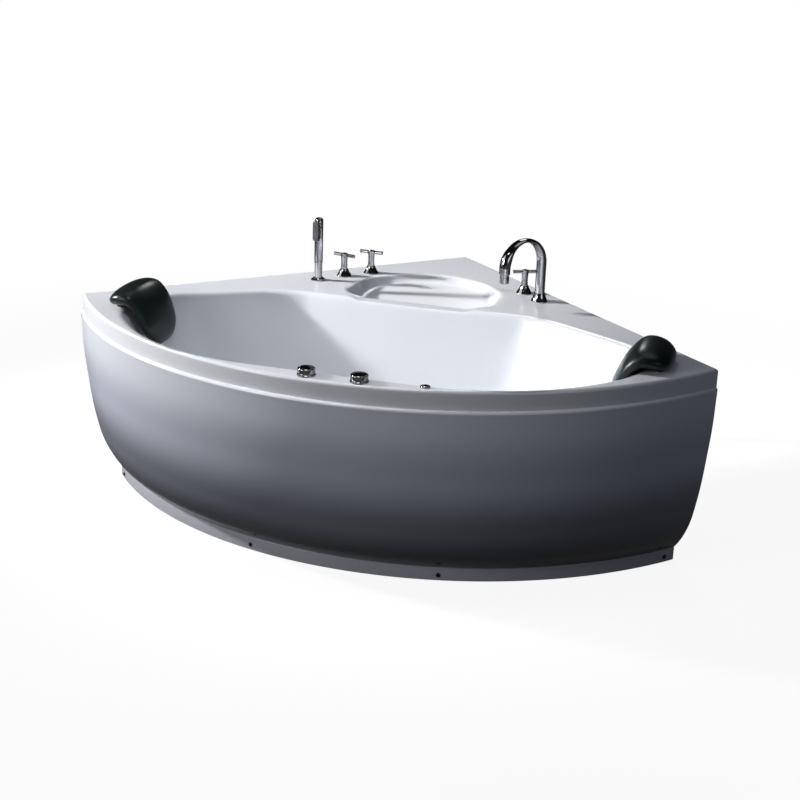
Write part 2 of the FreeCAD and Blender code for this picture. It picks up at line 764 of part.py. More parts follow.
def make_valve(name, bar_turn):
    spots = (name + "X", name + "Y", "rimHeight")
    valve = turned(name + "_valve_body", [
        ("0", "-110"), ("20", "-110"), ("20", "-52"), ("stemRadius - 0.5", "-52"),
        ("stemRadius - 0.5", "2"), ("0", "2")])
    place(valve, *spots)
    base = turned(name + "_valve_base", [
        ("stemRadius + 0.05", "0"), ("bellRadius", "0"), ("bellRadius", "3"),
        ("stemRadius + 3", "14"), ("stemRadius + 3", "bellHeight"),
        ("stemRadius + 0.05", "bellHeight")])
    place(base, *spots)
    handle = turned(name + "_handle", [
        ("0", "2.5"), ("stemRadius", "2.5"), ("stemRadius", "barHeight + barRadius + 1"),
        ("0", "barHeight + barRadius + 1")])
    bar = round_sketch(handle, name + "_bar_section", "YZ_Plane", "barRadius", "0", "barHeight")
    pad(handle, name + "_bar", bar, "barLength", midplane=True)
    place(handle, *spots, turn=Rotation(Vector(0, 0, 1), bar_turn))


for valve_name, bar_turn in VALVES:
    make_valve(valve_name, bar_turn)


# ---------------------------------------------------------------- spout

# along the gooseneck: angle round the arch, half thickness across the arch, half width
ARCH_STATIONS = ((0, 17, 17), (22, 15, 17), (45, 11.5, 17), (68, 8, 17), (90, 6.4, 17.2),
                 (112, 7, 17.5), (132, 9.5, 18), (148, 15.5, 18.6), (160, 19, 19),
                 (180, 19, 19))


def neck_ring(centre, across, thick, sideways, wide):
    # a section of the gooseneck; its long half-axis always lies sideways
    return Part.Wire(Part.Ellipse(
        centre + sideways * wide, centre + across * min(thick, wide - 0.002), centre).toShape())


def make_spout():
    base = turned("spout_base", [
        ("0", "2"), ("0", "-62"), ("13.5", "-62"), ("13.5", "0"), ("28.5", "0"),
        ("28.5", "3"), ("neckRadius + 2.5", "15"), ("neckRadius + 2.5", "30"),
        ("neckRadius + 0.05", "30"), ("neckRadius + 0.05", "2")])
    place(base, "spoutX", "spoutY", "rimHeight")

    reach, top = size("spoutReach"), size("spoutTop")
    arch = reach / 2
    spring = top - 6.4 - arch
    foot_thick, foot_wide = ARCH_STATIONS[0][1:]
    head_thick, head_wide = ARCH_STATIONS[-1][1:]
    across, sideways = Vector(-1, 0, 0), Vector(0, 1, 0)
    rings = [neck_ring(Vector(0, 0, 2.5), across, foot_thick, sideways, foot_wide)]
    for angle, thick, wide in ARCH_STATIONS:
        turn = math.radians(angle)
        centre = Vector(arch - arch * math.cos(turn), 0, spring + arch * math.sin(turn))
        across = Vector(-math.cos(turn), 0, math.sin(turn))
        rings.append(neck_ring(centre, across, thick, sideways, wide))
    rings.append(neck_ring(Vector(reach, 0, 118), across, head_thick, sideways, head_wide))
    neck = Part.makeLoft(rings, True, True)
    neck = neck.cut(Part.makeCylinder(13, 14, Vector(reach, 0, 117)))
    turn = Rotation(Vector(0, 0, 1), size("spoutTurn"))
    place(coded("spout_neck", neck), "spoutX", "spoutY", "rimHeight", turn)
    aerator = turned("spout_aerator", [
        ("10.5", "0"), ("16", "0"), ("16", "29.9"), ("12.9", "29.9"), ("12.9", "43"),
        ("0", "43"), ("0", "8"), ("10.5", "8")])
    outlet = "cos(spoutTurn) * spoutReach", "sin(spoutTurn) * spoutReach"
    place(aerator, "spoutX + " + outlet[0], "spoutY + " + outlet[1], "rimHeight + outletHeight")


make_spout()


# ---------------------------------------------------------------- fittings on the front rim

def make_rim_fittings():
    for name, spot in (("air_regulator_1", "firstKnob"), ("air_regulator_2", "secondKnob")):
        collar = turned(name + "_body", [
            ("5.05", "-55"), ("17", "-55"), ("17", "0"), ("knobRadius + 0.5", "0"),
            ("knobRadius + 0.5", "5"), ("5.05", "5")])
        place(collar, spot + "X", spot + "Y", "rimHeight")
        knob = turned(name + "_knob", [
            ("0", "-18"), ("5", "-18"), ("5", "5.3"), ("knobRadius - 1", "5.3"),
            ("knobRadius - 1", "knobHeight - 1.5"), ("knobRadius - 2.5", "knobHeight"),
            ("0", "knobHeight")])
        place(knob, spot + "X", spot + "Y", "rimHeight")
    collar = turned("air_button_collar", [
        ("11", "-12"), ("0", "-12"), ("0", "-30"), ("12.4", "-30"), ("12.4", "0"),
        ("buttonRadius", "0"), ("buttonRadius", "4.5"), ("11", "4.5")])
    place(collar, "buttonX", "buttonY", "rimHeight")
    cap = turned("air_button_cap", [
        ("0", "-7"), ("10.93", "-7"), ("10.93", "6"), ("0", "6")])
    place(cap, "buttonX", "buttonY", "rimHeight")


make_rim_fittings()


# ---------------------------------------------------------------- waste and overflow

WASTE_TAIL = 25
TRAP_TOP, TRAP_BOTTOM, TRAP_OUTLET = 150, 98, 124
DRAIN_DIRECTION, DRAIN_LENGTH = math.radians(60), 320
OVERFLOW_ROUTE = ((-766, 552), (-706, 300), (-686, 172), (-480, 172))


def make_waste():
    flange = turned("waste_flange", [
        ("wasteRadius", "-80"), ("25", "-80"), ("25", "0"), ("35", "0"), ("35", "3"),
        ("25.5", "3"), ("25.5", "1"), ("wasteRadius", "1")])
    place(flange, "wasteX", "wasteY", "floorTop")
    plug = turned("waste_plug", [
        ("0", "-34"), ("3", "-34"), ("3", "1.2"), ("25", "1.2"), ("25", "3"), ("20", "5"),
        ("0", "5")])
    place(plug, "wasteX", "wasteY", "floorTop")
    tail = Vector(size("wasteX"), size("wasteY"), 0)
    trap = Part.makeCylinder(38, TRAP_TOP - TRAP_BOTTOM, tail + Vector(0, 0, TRAP_BOTTOM))
    # the drain pipe leaves between the posts to the right-hand wall
    away = Vector(math.cos(DRAIN_DIRECTION), math.sin(DRAIN_DIRECTION), 0)
    outlet_start = tail + Vector(0, 0, TRAP_OUTLET)
    outlet_end = outlet_start + away * DRAIN_LENGTH
    trap = trap.fuse([rod(outlet_start, outlet_end, 20),
                      rod(outlet_end - away * 26, outlet_end - away * 4, 26)])
    bore = rod(outlet_end - away * 60, outlet_end + away, 17)
    coded("waste_trap", trap.cut(bore))


def make_overflow():
    spot, facing = front_spot(OVERFLOW_HEIGHT)
    lean = Rotation(Vector(0, 0, 1), facing)
    where = (str(spot.x), "%.4f" % spot.y, "%.4f" % spot.z)
    plate = turned("overflow_plate", [
        ("5.05", "-24"), ("16", "-24"), ("16", "0.3"), ("36", "0.3"), ("36", "3"), ("32", "7"),
        ("5.05", "7")])
    place(plate, *where, turn=lean)
    knob = turned("overflow_knob", [
        ("0", "-22"), ("5", "-22"), ("5", "7.4"), ("25", "7.4"), ("24", "19"), ("0", "19")])
    place(knob, *where, turn=lean)
    # the pipe leaves the back of the plate and runs down behind the wall to the waste
    start = spot - facing * 26
    route = [start] + [Vector(0, y, z) for y, z in OVERFLOW_ROUTE]
    pipe = pipe_run(route, 14).cut(Part.makeCylinder(
        WASTE_TAIL + 0.02, 90, Vector(0, size("wasteY"), 145)))
    coded("overflow_pipe", pipe)


make_waste()
make_overflow()


# ---------------------------------------------------------------- massage system

WATER_LEVEL = 300
PUMP_Y, PUMP_Z = 190, 168
PUMP_FACE_X = -60
NOZZLE_RADIUS = 12


def ring_route(points, facings, level, run_on):
    # a level route behind the basin past the jets, parallel to the wall at each
    left, back, _, right = [
        (Vector(point.x, point.y, level), Vector(-facing.y, facing.x, 0).normalize())
        for point, facing in zip(points, facings)]
    corners = [crossing(left, back), crossing(back, right)]
    start = left[0] + (left[0] - corners[0]).normalize() * run_on
    end = right[0] + (right[0] - corners[1]).normalize() * run_on
    return [start] + corners + [end]


def make_massage_system():
    spots = jet_spots()
    facings = [facing for _, facing in spots]
    ends = [spot - facing * ((size("jetHeight") - WATER_LEVEL) / facing.z)
            for spot, facing in spots]
    water = pipe_run(ring_route(ends, facings, WATER_LEVEL, 40), size("pipeRadius"))

    # each jet's body stands on the pipe and ends in a ring inside the basin
    for (spot, facing), end in zip(spots, ends):
        water = water.fuse([rod(end, spot + facing * 4, JET_HOLE - 0.3),
                            rod(spot + facing * 0.1, spot + facing * 4, size("jetRadius"))])
        water = water.cut(rod(spot - facing * 40, spot + facing * 5, NOZZLE_RADIUS + 0.06))

    for index, (spot, facing) in enumerate(spots, start=1):
        nozzle = turned("jet_nozzle_%d" % index, [
            ("6", "0"), (str(NOZZLE_RADIUS), "0"), (str(NOZZLE_RADIUS), "46"), ("6", "46")])
        foot = spot - facing * 38
        place(nozzle, *["%.4f" % c for c in foot], turn=Rotation(Vector(0, 0, 1), facing))

    spot, facing = suction_spot()
    lean = Rotation(Vector(0, 0, 1), facing)
    where = ["%.4f" % c for c in spot]
    body = turned("suction_body", [
        ("14", "-60"), ("20", "-60"), ("20", "0.3"), ("14", "0.3")])
    place(body, *where, turn=lean)
    cover = turned("suction_cover", [
        ("0", "0.4"), ("26", "0.4"), ("26", "3"), ("19", "8"), ("0", "8")])
    place(cover, *where, turn=lean)
    outlet = spot - facing * 60
    away = spot - facing * 118
    pump_inlet = Vector(PUMP_FACE_X - 75, PUMP_Y, PUMP_Z)
    coded("suction_pipe", pipe_run(
        [outlet, away, Vector(away.x, PUMP_Y, PUMP_Z), pump_inlet], 20))

    housing = rod(pump_inlet, Vector(PUMP_FACE_X - 50, PUMP_Y, PUMP_Z), 26)
    housing = housing.fuse(rod(Vector(PUMP_FACE_X - 50, PUMP_Y, PUMP_Z),
                               Vector(PUMP_FACE_X, PUMP_Y, PUMP_Z), 74))
    discharge = Vector(PUMP_FACE_X - 25, PUMP_Y, PUMP_Z)
    joint = discharge + Vector(0, 0, 92)
    coded("pump_housing", housing.fuse(rod(discharge, joint, 22)))
    riser = pipe_run([joint, Vector(joint.x, joint.y, WATER_LEVEL),
                      Vector(joint.x, ends[1].y, WATER_LEVEL)], size("pipeRadius"))
    coded("jet_pipe", water.fuse(riser).removeSplitter())

    motor_end = Vector(PUMP_FACE_X + 190, PUMP_Y, PUMP_Z)
    motor = rod(Vector(PUMP_FACE_X, PUMP_Y, PUMP_Z), motor_end, 60)
    fan_cover = rod(motor_end, motor_end + Vector(35, 0, 0), 64)
    box = Part.makeBox(80, 60, 34, Vector(PUMP_FACE_X + 60, PUMP_Y - 30, PUMP_Z + 50))
    foot = Part.makeBox(120, 110, 20, Vector(
        PUMP_FACE_X + 40, PUMP_Y - 55, size("railBottom") + size("railSide")))
    web = Part.makeBox(110, 70, 40, Vector(PUMP_FACE_X + 45, PUMP_Y - 35, 100))
    coded("pump_motor", motor.fuse([fan_cover, box, foot, web]))


make_massage_system()


# ---------------------------------------------------------------- supply pipes

MIXER_LEVEL = 602
SUPPLY_END = 420


def make_supply_pipes():
    deck = number("rimHeight")
    tails = []
    for name in ("hot", "cold"):
        x, y = size(name + "X"), size(name + "Y")
        pipe = Part.makeCylinder(8, deck - 110 - SUPPLY_END, Vector(x, y, SUPPLY_END))
        nut = Part.makeCylinder(13.5, 22, Vector(x, y, SUPPLY_END))
        tails.append(pipe.fuse(nut))
    coded("supply_tails", Part.makeCompound(tails))
    corners = [Vector(size(n + "X"), size(n + "Y"), MIXER_LEVEL)
               for n in ("hot", "cold", "diverter", "spout")]
    bodies = [Part.makeCylinder(20.02, 50, Vector(c.x, c.y, MIXER_LEVEL - 25)) for c in corners[:3]]
    runs = [rod(a, b, 8).cut(bodies) for a, b in zip(corners, corners[1:])]
    elbow = Part.makeCylinder(17, 30, Vector(corners[3].x, corners[3].y, MIXER_LEVEL - 14)).cut(
        Part.makeCylinder(13.52, 30, Vector(corners[3].x, corners[3].y, number("rimHeight") - 62)))
    runs[2] = runs[2].fuse(elbow)
    coded("mixer_pipes", Part.makeCompound(runs))


make_supply_pipes()


# ---------------------------------------------------------------- checks and files

doc.recompute()
for item in doc.Objects:
    for state in ("Invalid", "Error"):
        assert state not in item.State, item.Label + " is " + state
for part in kept:
    assert not part.Shape.isNull(), part.Label + " is empty"
    assert part.Shape.isValid(), part.Label + " is not valid"
    assert part.Shape.Solids, part.Label + " has no solid"

os.makedirs("parts", exist_ok=True)
for part in kept:
    part.Shape.exportStep("parts/%s.step" % part.Label)
    print("%-24s %d solid(s) %.0f cm3" % (part.Label, len(part.Shape.Solids),
                                         part.Shape.Volume / 1000))
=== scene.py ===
import math

import bmesh
import bpy
import numpy as np
from mathutils import Matrix, Vector
from mathutils.bvhtree import BVHTree


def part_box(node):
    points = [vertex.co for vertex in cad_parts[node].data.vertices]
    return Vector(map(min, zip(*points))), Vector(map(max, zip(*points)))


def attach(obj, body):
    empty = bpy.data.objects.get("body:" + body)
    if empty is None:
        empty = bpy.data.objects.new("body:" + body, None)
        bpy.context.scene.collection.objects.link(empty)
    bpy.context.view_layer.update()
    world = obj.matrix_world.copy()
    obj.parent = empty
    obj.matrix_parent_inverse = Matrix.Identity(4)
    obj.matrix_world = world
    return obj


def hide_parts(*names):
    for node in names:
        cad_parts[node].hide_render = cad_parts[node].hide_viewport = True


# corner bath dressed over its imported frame: metres, +X right, +Y to the room's corner, +Z up

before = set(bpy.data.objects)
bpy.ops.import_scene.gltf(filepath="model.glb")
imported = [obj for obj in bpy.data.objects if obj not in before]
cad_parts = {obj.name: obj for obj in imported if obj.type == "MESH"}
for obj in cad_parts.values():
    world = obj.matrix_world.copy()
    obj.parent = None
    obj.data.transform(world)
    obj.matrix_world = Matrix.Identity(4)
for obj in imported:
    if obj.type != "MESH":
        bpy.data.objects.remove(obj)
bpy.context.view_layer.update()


def feed(tree, node, links):
    # sets a node's inputs, by name or place, from plain values or other sockets
    for name, value in dict(links).items():
        if isinstance(value, bpy.types.NodeSocket):
            tree.links.new(value, node.inputs[name])
        else:
            node.inputs[name].default_value = value


def addNode(tree, kind, links=(), **values):
    node = tree.nodes.new(kind)
    for key, value in values.items():
        setattr(node, key, value)
    feed(tree, node, links)
    return node


def intoScene(thing):
    bpy.context.scene.collection.objects.link(thing)


cameraSettings = {
    "place": (1.3593, -4.58343, 2.01835),
    "yaw": 0.288439,       # to the left of +Y
    "pitch": 0.333486,     # downwards
    "roll": 0.0344356,
    "lens": 66.985,
    "sensor": 36.0,
    "farEnd": 150,
}


def makeCamera(settings):
    yaw, pitch, roll = (settings[k] for k in ("yaw", "pitch", "roll"))
    ahead = Vector((-math.sin(yaw) * math.cos(pitch), math.cos(yaw) * math.cos(pitch),
                    -math.sin(pitch)))
    level = Vector((math.cos(yaw), math.sin(yaw), 0))
    above = level.cross(ahead)
    right = level * math.cos(roll) + above * math.sin(roll)
    up = above * math.cos(roll) - level * math.sin(roll)
    data = bpy.data.cameras.new("photoCamera")
    data.lens = settings["lens"]
    data.sensor_width = settings["sensor"]
    data.clip_end = settings["farEnd"]
    camera = bpy.data.objects.new("photoCamera", data)
    intoScene(camera)
    turn = Matrix((right, up, -ahead)).transposed()
    camera.matrix_world = Matrix.Translation(settings["place"]) @ turn.to_4x4()
    bpy.context.scene.camera = camera


makeCamera(cameraSettings)
print("camera placed")


def makeSurfaceGroup():
    # fine mottling and soft patches over a surface, as two masks from 0 to 1
    group = bpy.data.node_groups.new("surfaceMottle", "ShaderNodeTree")
    face = group.interface
    face.new_socket("Place", in_out="INPUT", socket_type="NodeSocketVector")
    for name, value in (("Grain Scale", 400.0), ("Patch Scale", 6.0), ("Stretch", 1.0)):
        face.new_socket(name, in_out="INPUT", socket_type="NodeSocketFloat").default_value = value
    face.new_socket("Grain", in_out="OUTPUT", socket_type="NodeSocketFloat")
    face.new_socket("Patches", in_out="OUTPUT", socket_type="NodeSocketFloat")
    start = group.nodes.new("NodeGroupInput")
    end = group.nodes.new("NodeGroupOutput")
    stretch = addNode(group, "ShaderNodeCombineXYZ",
                      {"X": 1.0, "Y": 1.0, "Z": start.outputs["Stretch"]})
    placed = addNode(group, "ShaderNodeVectorMath",
                     {0: start.outputs["Place"], 1: stretch.outputs[0]}, operation="MULTIPLY")
    grain = addNode(group, "ShaderNodeTexNoise", {
        "Vector": placed.outputs[0], "Scale": start.outputs["Grain Scale"], "Detail": 3.0})
    patches = addNode(group, "ShaderNodeTexNoise", {
        "Vector": placed.outputs[0], "Scale": start.outputs["Patch Scale"], "Detail": 4.0,
        "Roughness": 0.62})
    spread = addNode(group, "ShaderNodeMapRange", {
        "Value": patches.outputs["Fac"], "From Min": 0.35, "From Max": 0.68})
    group.links.new(grain.outputs["Fac"], end.inputs["Grain"])
    group.links.new(spread.outputs["Result"], end.inputs["Patches"])
    return group


surfaceMottle = makeSurfaceGroup()


def mixedColours(tree, share, first, second, blend="MIX"):
    # two colours, each a plain one or another node's socket
    return addNode(tree, "ShaderNodeMix", {0: share, 6: first, 7: second},
                   data_type="RGBA", blend_type=blend).outputs[2]


def shadeRamp(tree, share, shades, interpolation="LINEAR"):
    # a ramp of colours whose first two shades are its ends
    ramp = addNode(tree, "ShaderNodeValToRGB", {"Fac": share})
    ramp.color_ramp.interpolation = interpolation
    stops = ramp.color_ramp.elements
    for index, (position, colour) in enumerate(shades):
        stop = stops[index] if index < 2 else stops.new(position)
        stop.position = position
        stop.color = (*colour, 1)
    return ramp.outputs["Color"]


def makeFinish(name, settings):
    # one surface: two shades mixed by soft patches, roughness that wanders, and a fine bump
    material = bpy.data.materials.new(name)
    material.use_nodes = True
    tree = material.node_tree
    mottle = addNode(tree, "ShaderNodeGroup", node_tree=surfaceMottle)
    feed(tree, mottle, {
        "Place": tree.nodes.new("ShaderNodeTexCoord").outputs["Object"],
        "Grain Scale": settings.get("grainScale", 400),
        "Patch Scale": settings.get("patchScale", 6), "Stretch": settings.get("stretch", 1)})
    patches = mottle.outputs["Patches"]
    colours = [(*settings[key], 1) for key in ("colour", "second") if key in settings]
    colour = mixedColours(tree, patches, colours[0], colours[-1])
    low, high = settings["roughness"]
    rough = addNode(tree, "ShaderNodeMapRange", {"Value": patches, "To Min": low, "To Max": high})
    bump = addNode(tree, "ShaderNodeBump", {
        "Height": mottle.outputs["Grain"], "Strength": settings.get("bump", 0.05),
        "Distance": settings.get("bumpDepth", 0.0004)})
    inputs = {"Base Color": colour, "Roughness": rough.outputs["Result"],
              "Normal": bump.outputs["Normal"]}
    for key in ("Metallic", "Coat Weight", "Coat Roughness", "Specular IOR Level"):
        if key in settings:
            inputs[key] = settings[key]
    feed(tree, tree.nodes["Principled BSDF"], inputs)
    return material


finishes = {
    "acrylic": {"colour": (0.885, 0.9, 0.94), "second": (0.882, 0.897, 0.937),
                "roughness": (0.25, 0.255), "patchScale": 2.5, "bump": 0.02,
                "Coat Weight": 0.3, "Coat Roughness": 0.14},
    # base strip: a white part painted mid grey all over, as painted shade at the foot of the apron
    "strip": {"colour": (0.60, 0.61, 0.66), "second": (0.56, 0.57, 0.62),
              "roughness": (0.2, 0.3), "patchScale": 3, "bump": 0.02, "Coat Weight": 0.2,
              "Coat Roughness": 0.1},
    "backing": {"colour": (0.56, 0.57, 0.52), "second": (0.70, 0.70, 0.64),
                "roughness": (0.45, 0.7), "grainScale": 160, "patchScale": 22, "bump": 0.6,
                "bumpDepth": 0.002},
    "screw_steel": {"colour": (0.03, 0.03, 0.035), "roughness": (0.3, 0.45), "Metallic": 0.6},
    "frame_steel": {"colour": (0.42, 0.44, 0.46), "second": (0.55, 0.56, 0.57),
                    "roughness": (0.35, 0.6), "patchScale": 60, "Metallic": 0.9,
                    "bump": 0.15},
    "foot_plastic": {"colour": (0.03, 0.03, 0.03), "second": (0.05, 0.05, 0.05),
                     "roughness": (0.45, 0.6), "bump": 0.2},
    "foot_steel": {"colour": (0.6, 0.6, 0.58), "second": (0.68, 0.67, 0.62),
                   "roughness": (0.22, 0.38), "Metallic": 1.0, "patchScale": 30},
    "cup": {"colour": (0.02, 0.02, 0.02), "roughness": (0.3, 0.4), "bump": 0.1},
    "spray_plate": {"colour": (0.045, 0.046, 0.05), "second": (0.06, 0.06, 0.065),
                    "roughness": (0.32, 0.45), "grainScale": 900, "bump": 0.15},
    "brass": {"colour": (0.62, 0.44, 0.2), "second": (0.5, 0.34, 0.16),
              "roughness": (0.25, 0.42), "Metallic": 1.0, "patchScale": 25},
    "white_plastic": {"colour": (0.8, 0.81, 0.82), "second": (0.76, 0.77, 0.78),
                      "roughness": (0.22, 0.32), "patchScale": 14},
    "pipe": {"colour": (0.72, 0.73, 0.73), "second": (0.64, 0.65, 0.64),
             "roughness": (0.35, 0.5), "patchScale": 9, "bump": 0.12},
    "pump_body": {"colour": (0.022, 0.022, 0.025), "second": (0.035, 0.035, 0.038),
                  "roughness": (0.4, 0.55), "bump": 0.3, "bumpDepth": 0.001},
    "motor": {"colour": (0.07, 0.1, 0.16), "second": (0.09, 0.12, 0.18),
              "roughness": (0.3, 0.45), "bump": 0.12},
    "steel_pipe": {"colour": (0.55, 0.55, 0.55), "second": (0.68, 0.68, 0.67),
                   "roughness": (0.3, 0.45), "Metallic": 1.0, "grainScale": 700,
                   "stretch": 3, "bump": 0.5, "bumpDepth": 0.001},
    # near black, for the hole dots, the finger scoop crescents and the valve caps; on the dots and
    # crescents it is painted shade
    "well": {"colour": (0.01, 0.01, 0.012), "roughness": (0.5, 0.6)},
}
looks = {name: makeFinish(name, settings) for name, settings in finishes.items()}


def makeApronWithPaintedShade(settings):
    # satin acrylic with painted shade: its colour is painted darker from the ledge down to the base
    material = makeFinish("apron_acrylic", settings)
    tree = material.node_tree
    place = tree.nodes["Texture Coordinate"].outputs["Object"]
    height = addNode(tree, "ShaderNodeSeparateXYZ", {"Vector": place}).outputs["Z"]
    share = addNode(tree, "ShaderNodeMapRange", {
        "Value": height, "From Min": settings["low"], "From Max": settings["high"]})
    colour = shadeRamp(tree, share.outputs["Result"], settings["shades"], "EASE")
    tree.links.new(colour, tree.nodes["Principled BSDF"].inputs["Base Color"])
    return material


apronFinishWithPaintedShade = {
    "colour": (0.85, 0.86, 0.9), "roughness": (0.16, 0.24), "patchScale": 2,
    "bump": 0.02, "Coat Weight": 0.15, "Coat Roughness": 0.12,
    # painted shade: the colour is painted near black at low and white at high, with bluish greys
    # between
    "low": 0.05, "high": 0.62,
    "shades": ((0.0, (0.018, 0.019, 0.024)), (1.0, (0.90, 0.91, 0.95)),
               (0.3, (0.24, 0.25, 0.30)), (0.62, (0.62, 0.635, 0.74)),
               (0.97, (0.84, 0.855, 0.93))),
}
looks["apron_acrylic"] = makeApronWithPaintedShade(apronFinishWithPaintedShade)


def makeBoardFinish():
    # plywood: pale veneer with drawn-out grain
    material = makeFinish("board", {
        "colour": (0.5, 0.34, 0.19), "second": (0.4, 0.26, 0.14), "roughness": (0.5, 0.7),
        "grainScale": 60, "patchScale": 14, "bump": 0.3})
    tree = material.node_tree
    mapping = addNode(tree, "ShaderNodeMapping", {
        "Vector": tree.nodes["Texture Coordinate"].outputs["Object"], "Scale": (1.2, 22, 22)})
    tree.links.new(mapping.outputs[0], tree.nodes["Group"].inputs["Place"])
    return material


looks["board"] = makeBoardFinish()


def makeChromeWithPaintedReflection(settings):
    # polished plating with painted reflection: its colour is painted darker where it is seen aslant
    material = makeFinish("chrome", settings)
    tree = material.node_tree
    aslant = tree.nodes.new("ShaderNodeLayerWeight").outputs["Facing"]
    shade = shadeRamp(tree, aslant, [(place, (grey,) * 3) for place, grey in settings["shades"]])
    colour = mixedColours(tree, 1.0, tree.nodes["Mix"].outputs[2], shade, "MULTIPLY")
    tree.links.new(colour, tree.nodes["Principled BSDF"].inputs["Base Color"])
    return material


looks["chrome"] = makeChromeWithPaintedReflection({
    "colour": (0.88, 0.89, 0.91), "second": (0.84, 0.85, 0.88), "roughness": (0.03, 0.07),
    "patchScale": 18, "Metallic": 1.0, "bump": 0.006,
    # painted reflection: how dark the colour is painted, from face-on to aslant
    "shades": ((0.0, 0.68), (1.0, 0.05), (0.3, 0.38), (0.56, 0.12))})


def makePillowFinish(settings):
    # glossy moulded skin: very dark green with a fine pebbled grain
    material = makeFinish("pillow", settings)
    tree = material.node_tree
    cells = addNode(tree, "ShaderNodeTexVoronoi", {
        "Vector": tree.nodes["Texture Coordinate"].outputs["Object"],
        "Scale": settings["pebbleScale"]}, feature="SMOOTH_F1")
    tree.links.new(cells.outputs["Distance"], tree.nodes["Bump"].inputs["Height"])
    return material


looks["pillow"] = makePillowFinish({
    "colour": (0.008, 0.014, 0.0135), "second": (0.013, 0.022, 0.021),
    "roughness": (0.3, 0.36), "patchScale": 9, "bump": 0.06, "bumpDepth": 0.0003,
    "pebbleScale": 900, "Coat Weight": 0.06, "Coat Roughness": 0.15,
    "Specular IOR Level": 0.3})
print("finishes made:", len(looks))


def finishPiece(piece, look, body, replaces=(), sharp=35):
    # smooth faces with crisp edges, one finish, one body
    mesh = piece.data
    mesh.materials.clear()
    mesh.materials.append(looks[look])
    mesh.shade_smooth()
    if sharp:
        mesh.set_sharp_from_angle(angle=math.radians(sharp))
    if piece.name not in bpy.context.scene.collection.objects:
        intoScene(piece)
    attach(piece, body)
    if replaces:
        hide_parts(*replaces)
    return piece


def meshPiece(name, points, faces):
    mesh = bpy.data.meshes.new(name)
    mesh.from_pydata([tuple(p) for p in points], [], faces)
    mesh.validate()
    work = bmesh.new()
    work.from_mesh(mesh)
    bmesh.ops.remove_doubles(work, verts=work.verts, dist=1e-6)
    bmesh.ops.recalc_face_normals(work, faces=work.faces)
    work.to_mesh(mesh)
    work.free()
    return bpy.data.objects.new(name, mesh)


def ringFaces(rows, around, closed=True):
    # faces between rings of as many points each, laid one after another
    faces = []
    for ring in range(rows - 1):
        first, second = ring * around, (ring + 1) * around
        for i in range(around if closed else around - 1):
            j = (i + 1) % around
            faces.append((first + i, first + j, second + j, second + i))
    return faces


def fanFaces(ring, around, middle):
    # triangles from a ring of points to the point at its middle
    base = ring * around
    return [(base + i, base + (i + 1) % around, middle) for i in range(around)]


def cappedRings(name, rings):
    # closed rings of points with a centre point at each end
    around = len(rings[0])
    points = [p for ring in rings for p in ring]
    faces = ringFaces(len(rings), around)
    for ring in (0, len(rings) - 1):
        points.append(np.mean(np.array(rings[ring]), axis=0))
        faces += fanFaces(ring, around, len(points) - 1)
    return meshPiece(name, points, faces)


def sheetFaces(rows, columns):
    # open rows of points closed across into a loop, with one face at each end
    last = (rows - 1) * columns
    faces = ringFaces(rows, columns, closed=False)
    faces += [(last + i, last + i + 1, i + 1, i) for i in range(columns - 1)]
    return faces + [[row * columns + side for row in range(rows)] for side in (0, columns - 1)]


def circle(count, radius=1.0):
    return [(radius * math.cos(2 * math.pi * i / count), radius * math.sin(2 * math.pi * i / count))
            for i in range(count)]


def squared(value, power):
    # pushes a sine or cosine outwards, so that a round section becomes a soft square
    return math.copysign(abs(value) ** power, value)


def hermite(t, gap, values, slopes, k):
    # a smooth curve between rows k and k + 1 of a table, from their values and slopes
    return ((2 * t ** 3 - 3 * t ** 2 + 1) * values[k] + (t ** 3 - 2 * t ** 2 + t) * gap * slopes[k]
            + (-2 * t ** 3 + 3 * t ** 2) * values[k + 1] + (t ** 3 - t ** 2) * gap * slopes[k + 1])


def softened(corners, radius, steps=4):
    # a cross-section's line with each inner corner rounded
    soft = [corners[0]]
    for before, here, after in zip(corners, corners[1:], corners[2:]):
        a, b, c = (np.array(p, float) for p in (before, here, after))
        back, ahead = a - b, c - b
        reach = min(radius, 0.45 * np.linalg.norm(back), 0.45 * np.linalg.norm(ahead))
        start = b + back / np.linalg.norm(back) * reach
        end = b + ahead / np.linalg.norm(ahead) * reach
        for step in range(steps + 1):
            t = step / steps
            soft.append(tuple((1 - t) ** 2 * start + 2 * t * (1 - t) * b + t * t * end))
    return soft + [corners[-1]]


def facingMatrix(place, direction=(0, 0, 1)):
    turn = Vector(direction).to_track_quat("Z", "Y").to_matrix().to_4x4()
    return Matrix.Translation(place) @ turn


def turnedPiece(name, section, matrix, around=96, soft=0.0006):
    # a piece turned about its axis from a section of (radius, height) in metres
    line = softened(section, soft) if soft else section
    return cappedRings(name, [[matrix @ Vector((x, y, height)) for x, y in circle(
        around, max(radius, 1e-5))] for radius, height in line])


def joined(name, pieces):
    # several meshes as one piece
    work = bmesh.new()
    for piece in pieces:
        work.from_mesh(piece.data)
    mesh = bpy.data.meshes.new(name)
    work.to_mesh(mesh)
    work.free()
    for piece in pieces:
        bpy.data.objects.remove(piece)
    return bpy.data.objects.new(name, mesh)


def smoothCopy(node, name, look):
    # a CAD node's own shape with its curved faces shaded smooth
    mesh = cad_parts[node].data.copy()
    work = bmesh.new()
    work.from_mesh(mesh)
    bmesh.ops.remove_doubles(work, verts=work.verts, dist=2e-5)
    work.to_mesh(mesh)
    work.free()
    piece = bpy.data.objects.new(name, mesh)
    return finishPiece(piece, look, "tub", (node,), 32)


def chromed(piece, body, *nodes):
    finishPiece(piece, "chrome", body, nodes, 50)


def fitting(name, body, nodes, section, place, around=96, soft=0.0006):
    # a turned and plated piece; place is a spot on the deck or a full matrix
    matrix = place if isinstance(place, Matrix) else facingMatrix((*place, tub["rimHeight"]))
    chromed(turnedPiece(name, section, matrix, around, soft), body, *nodes)


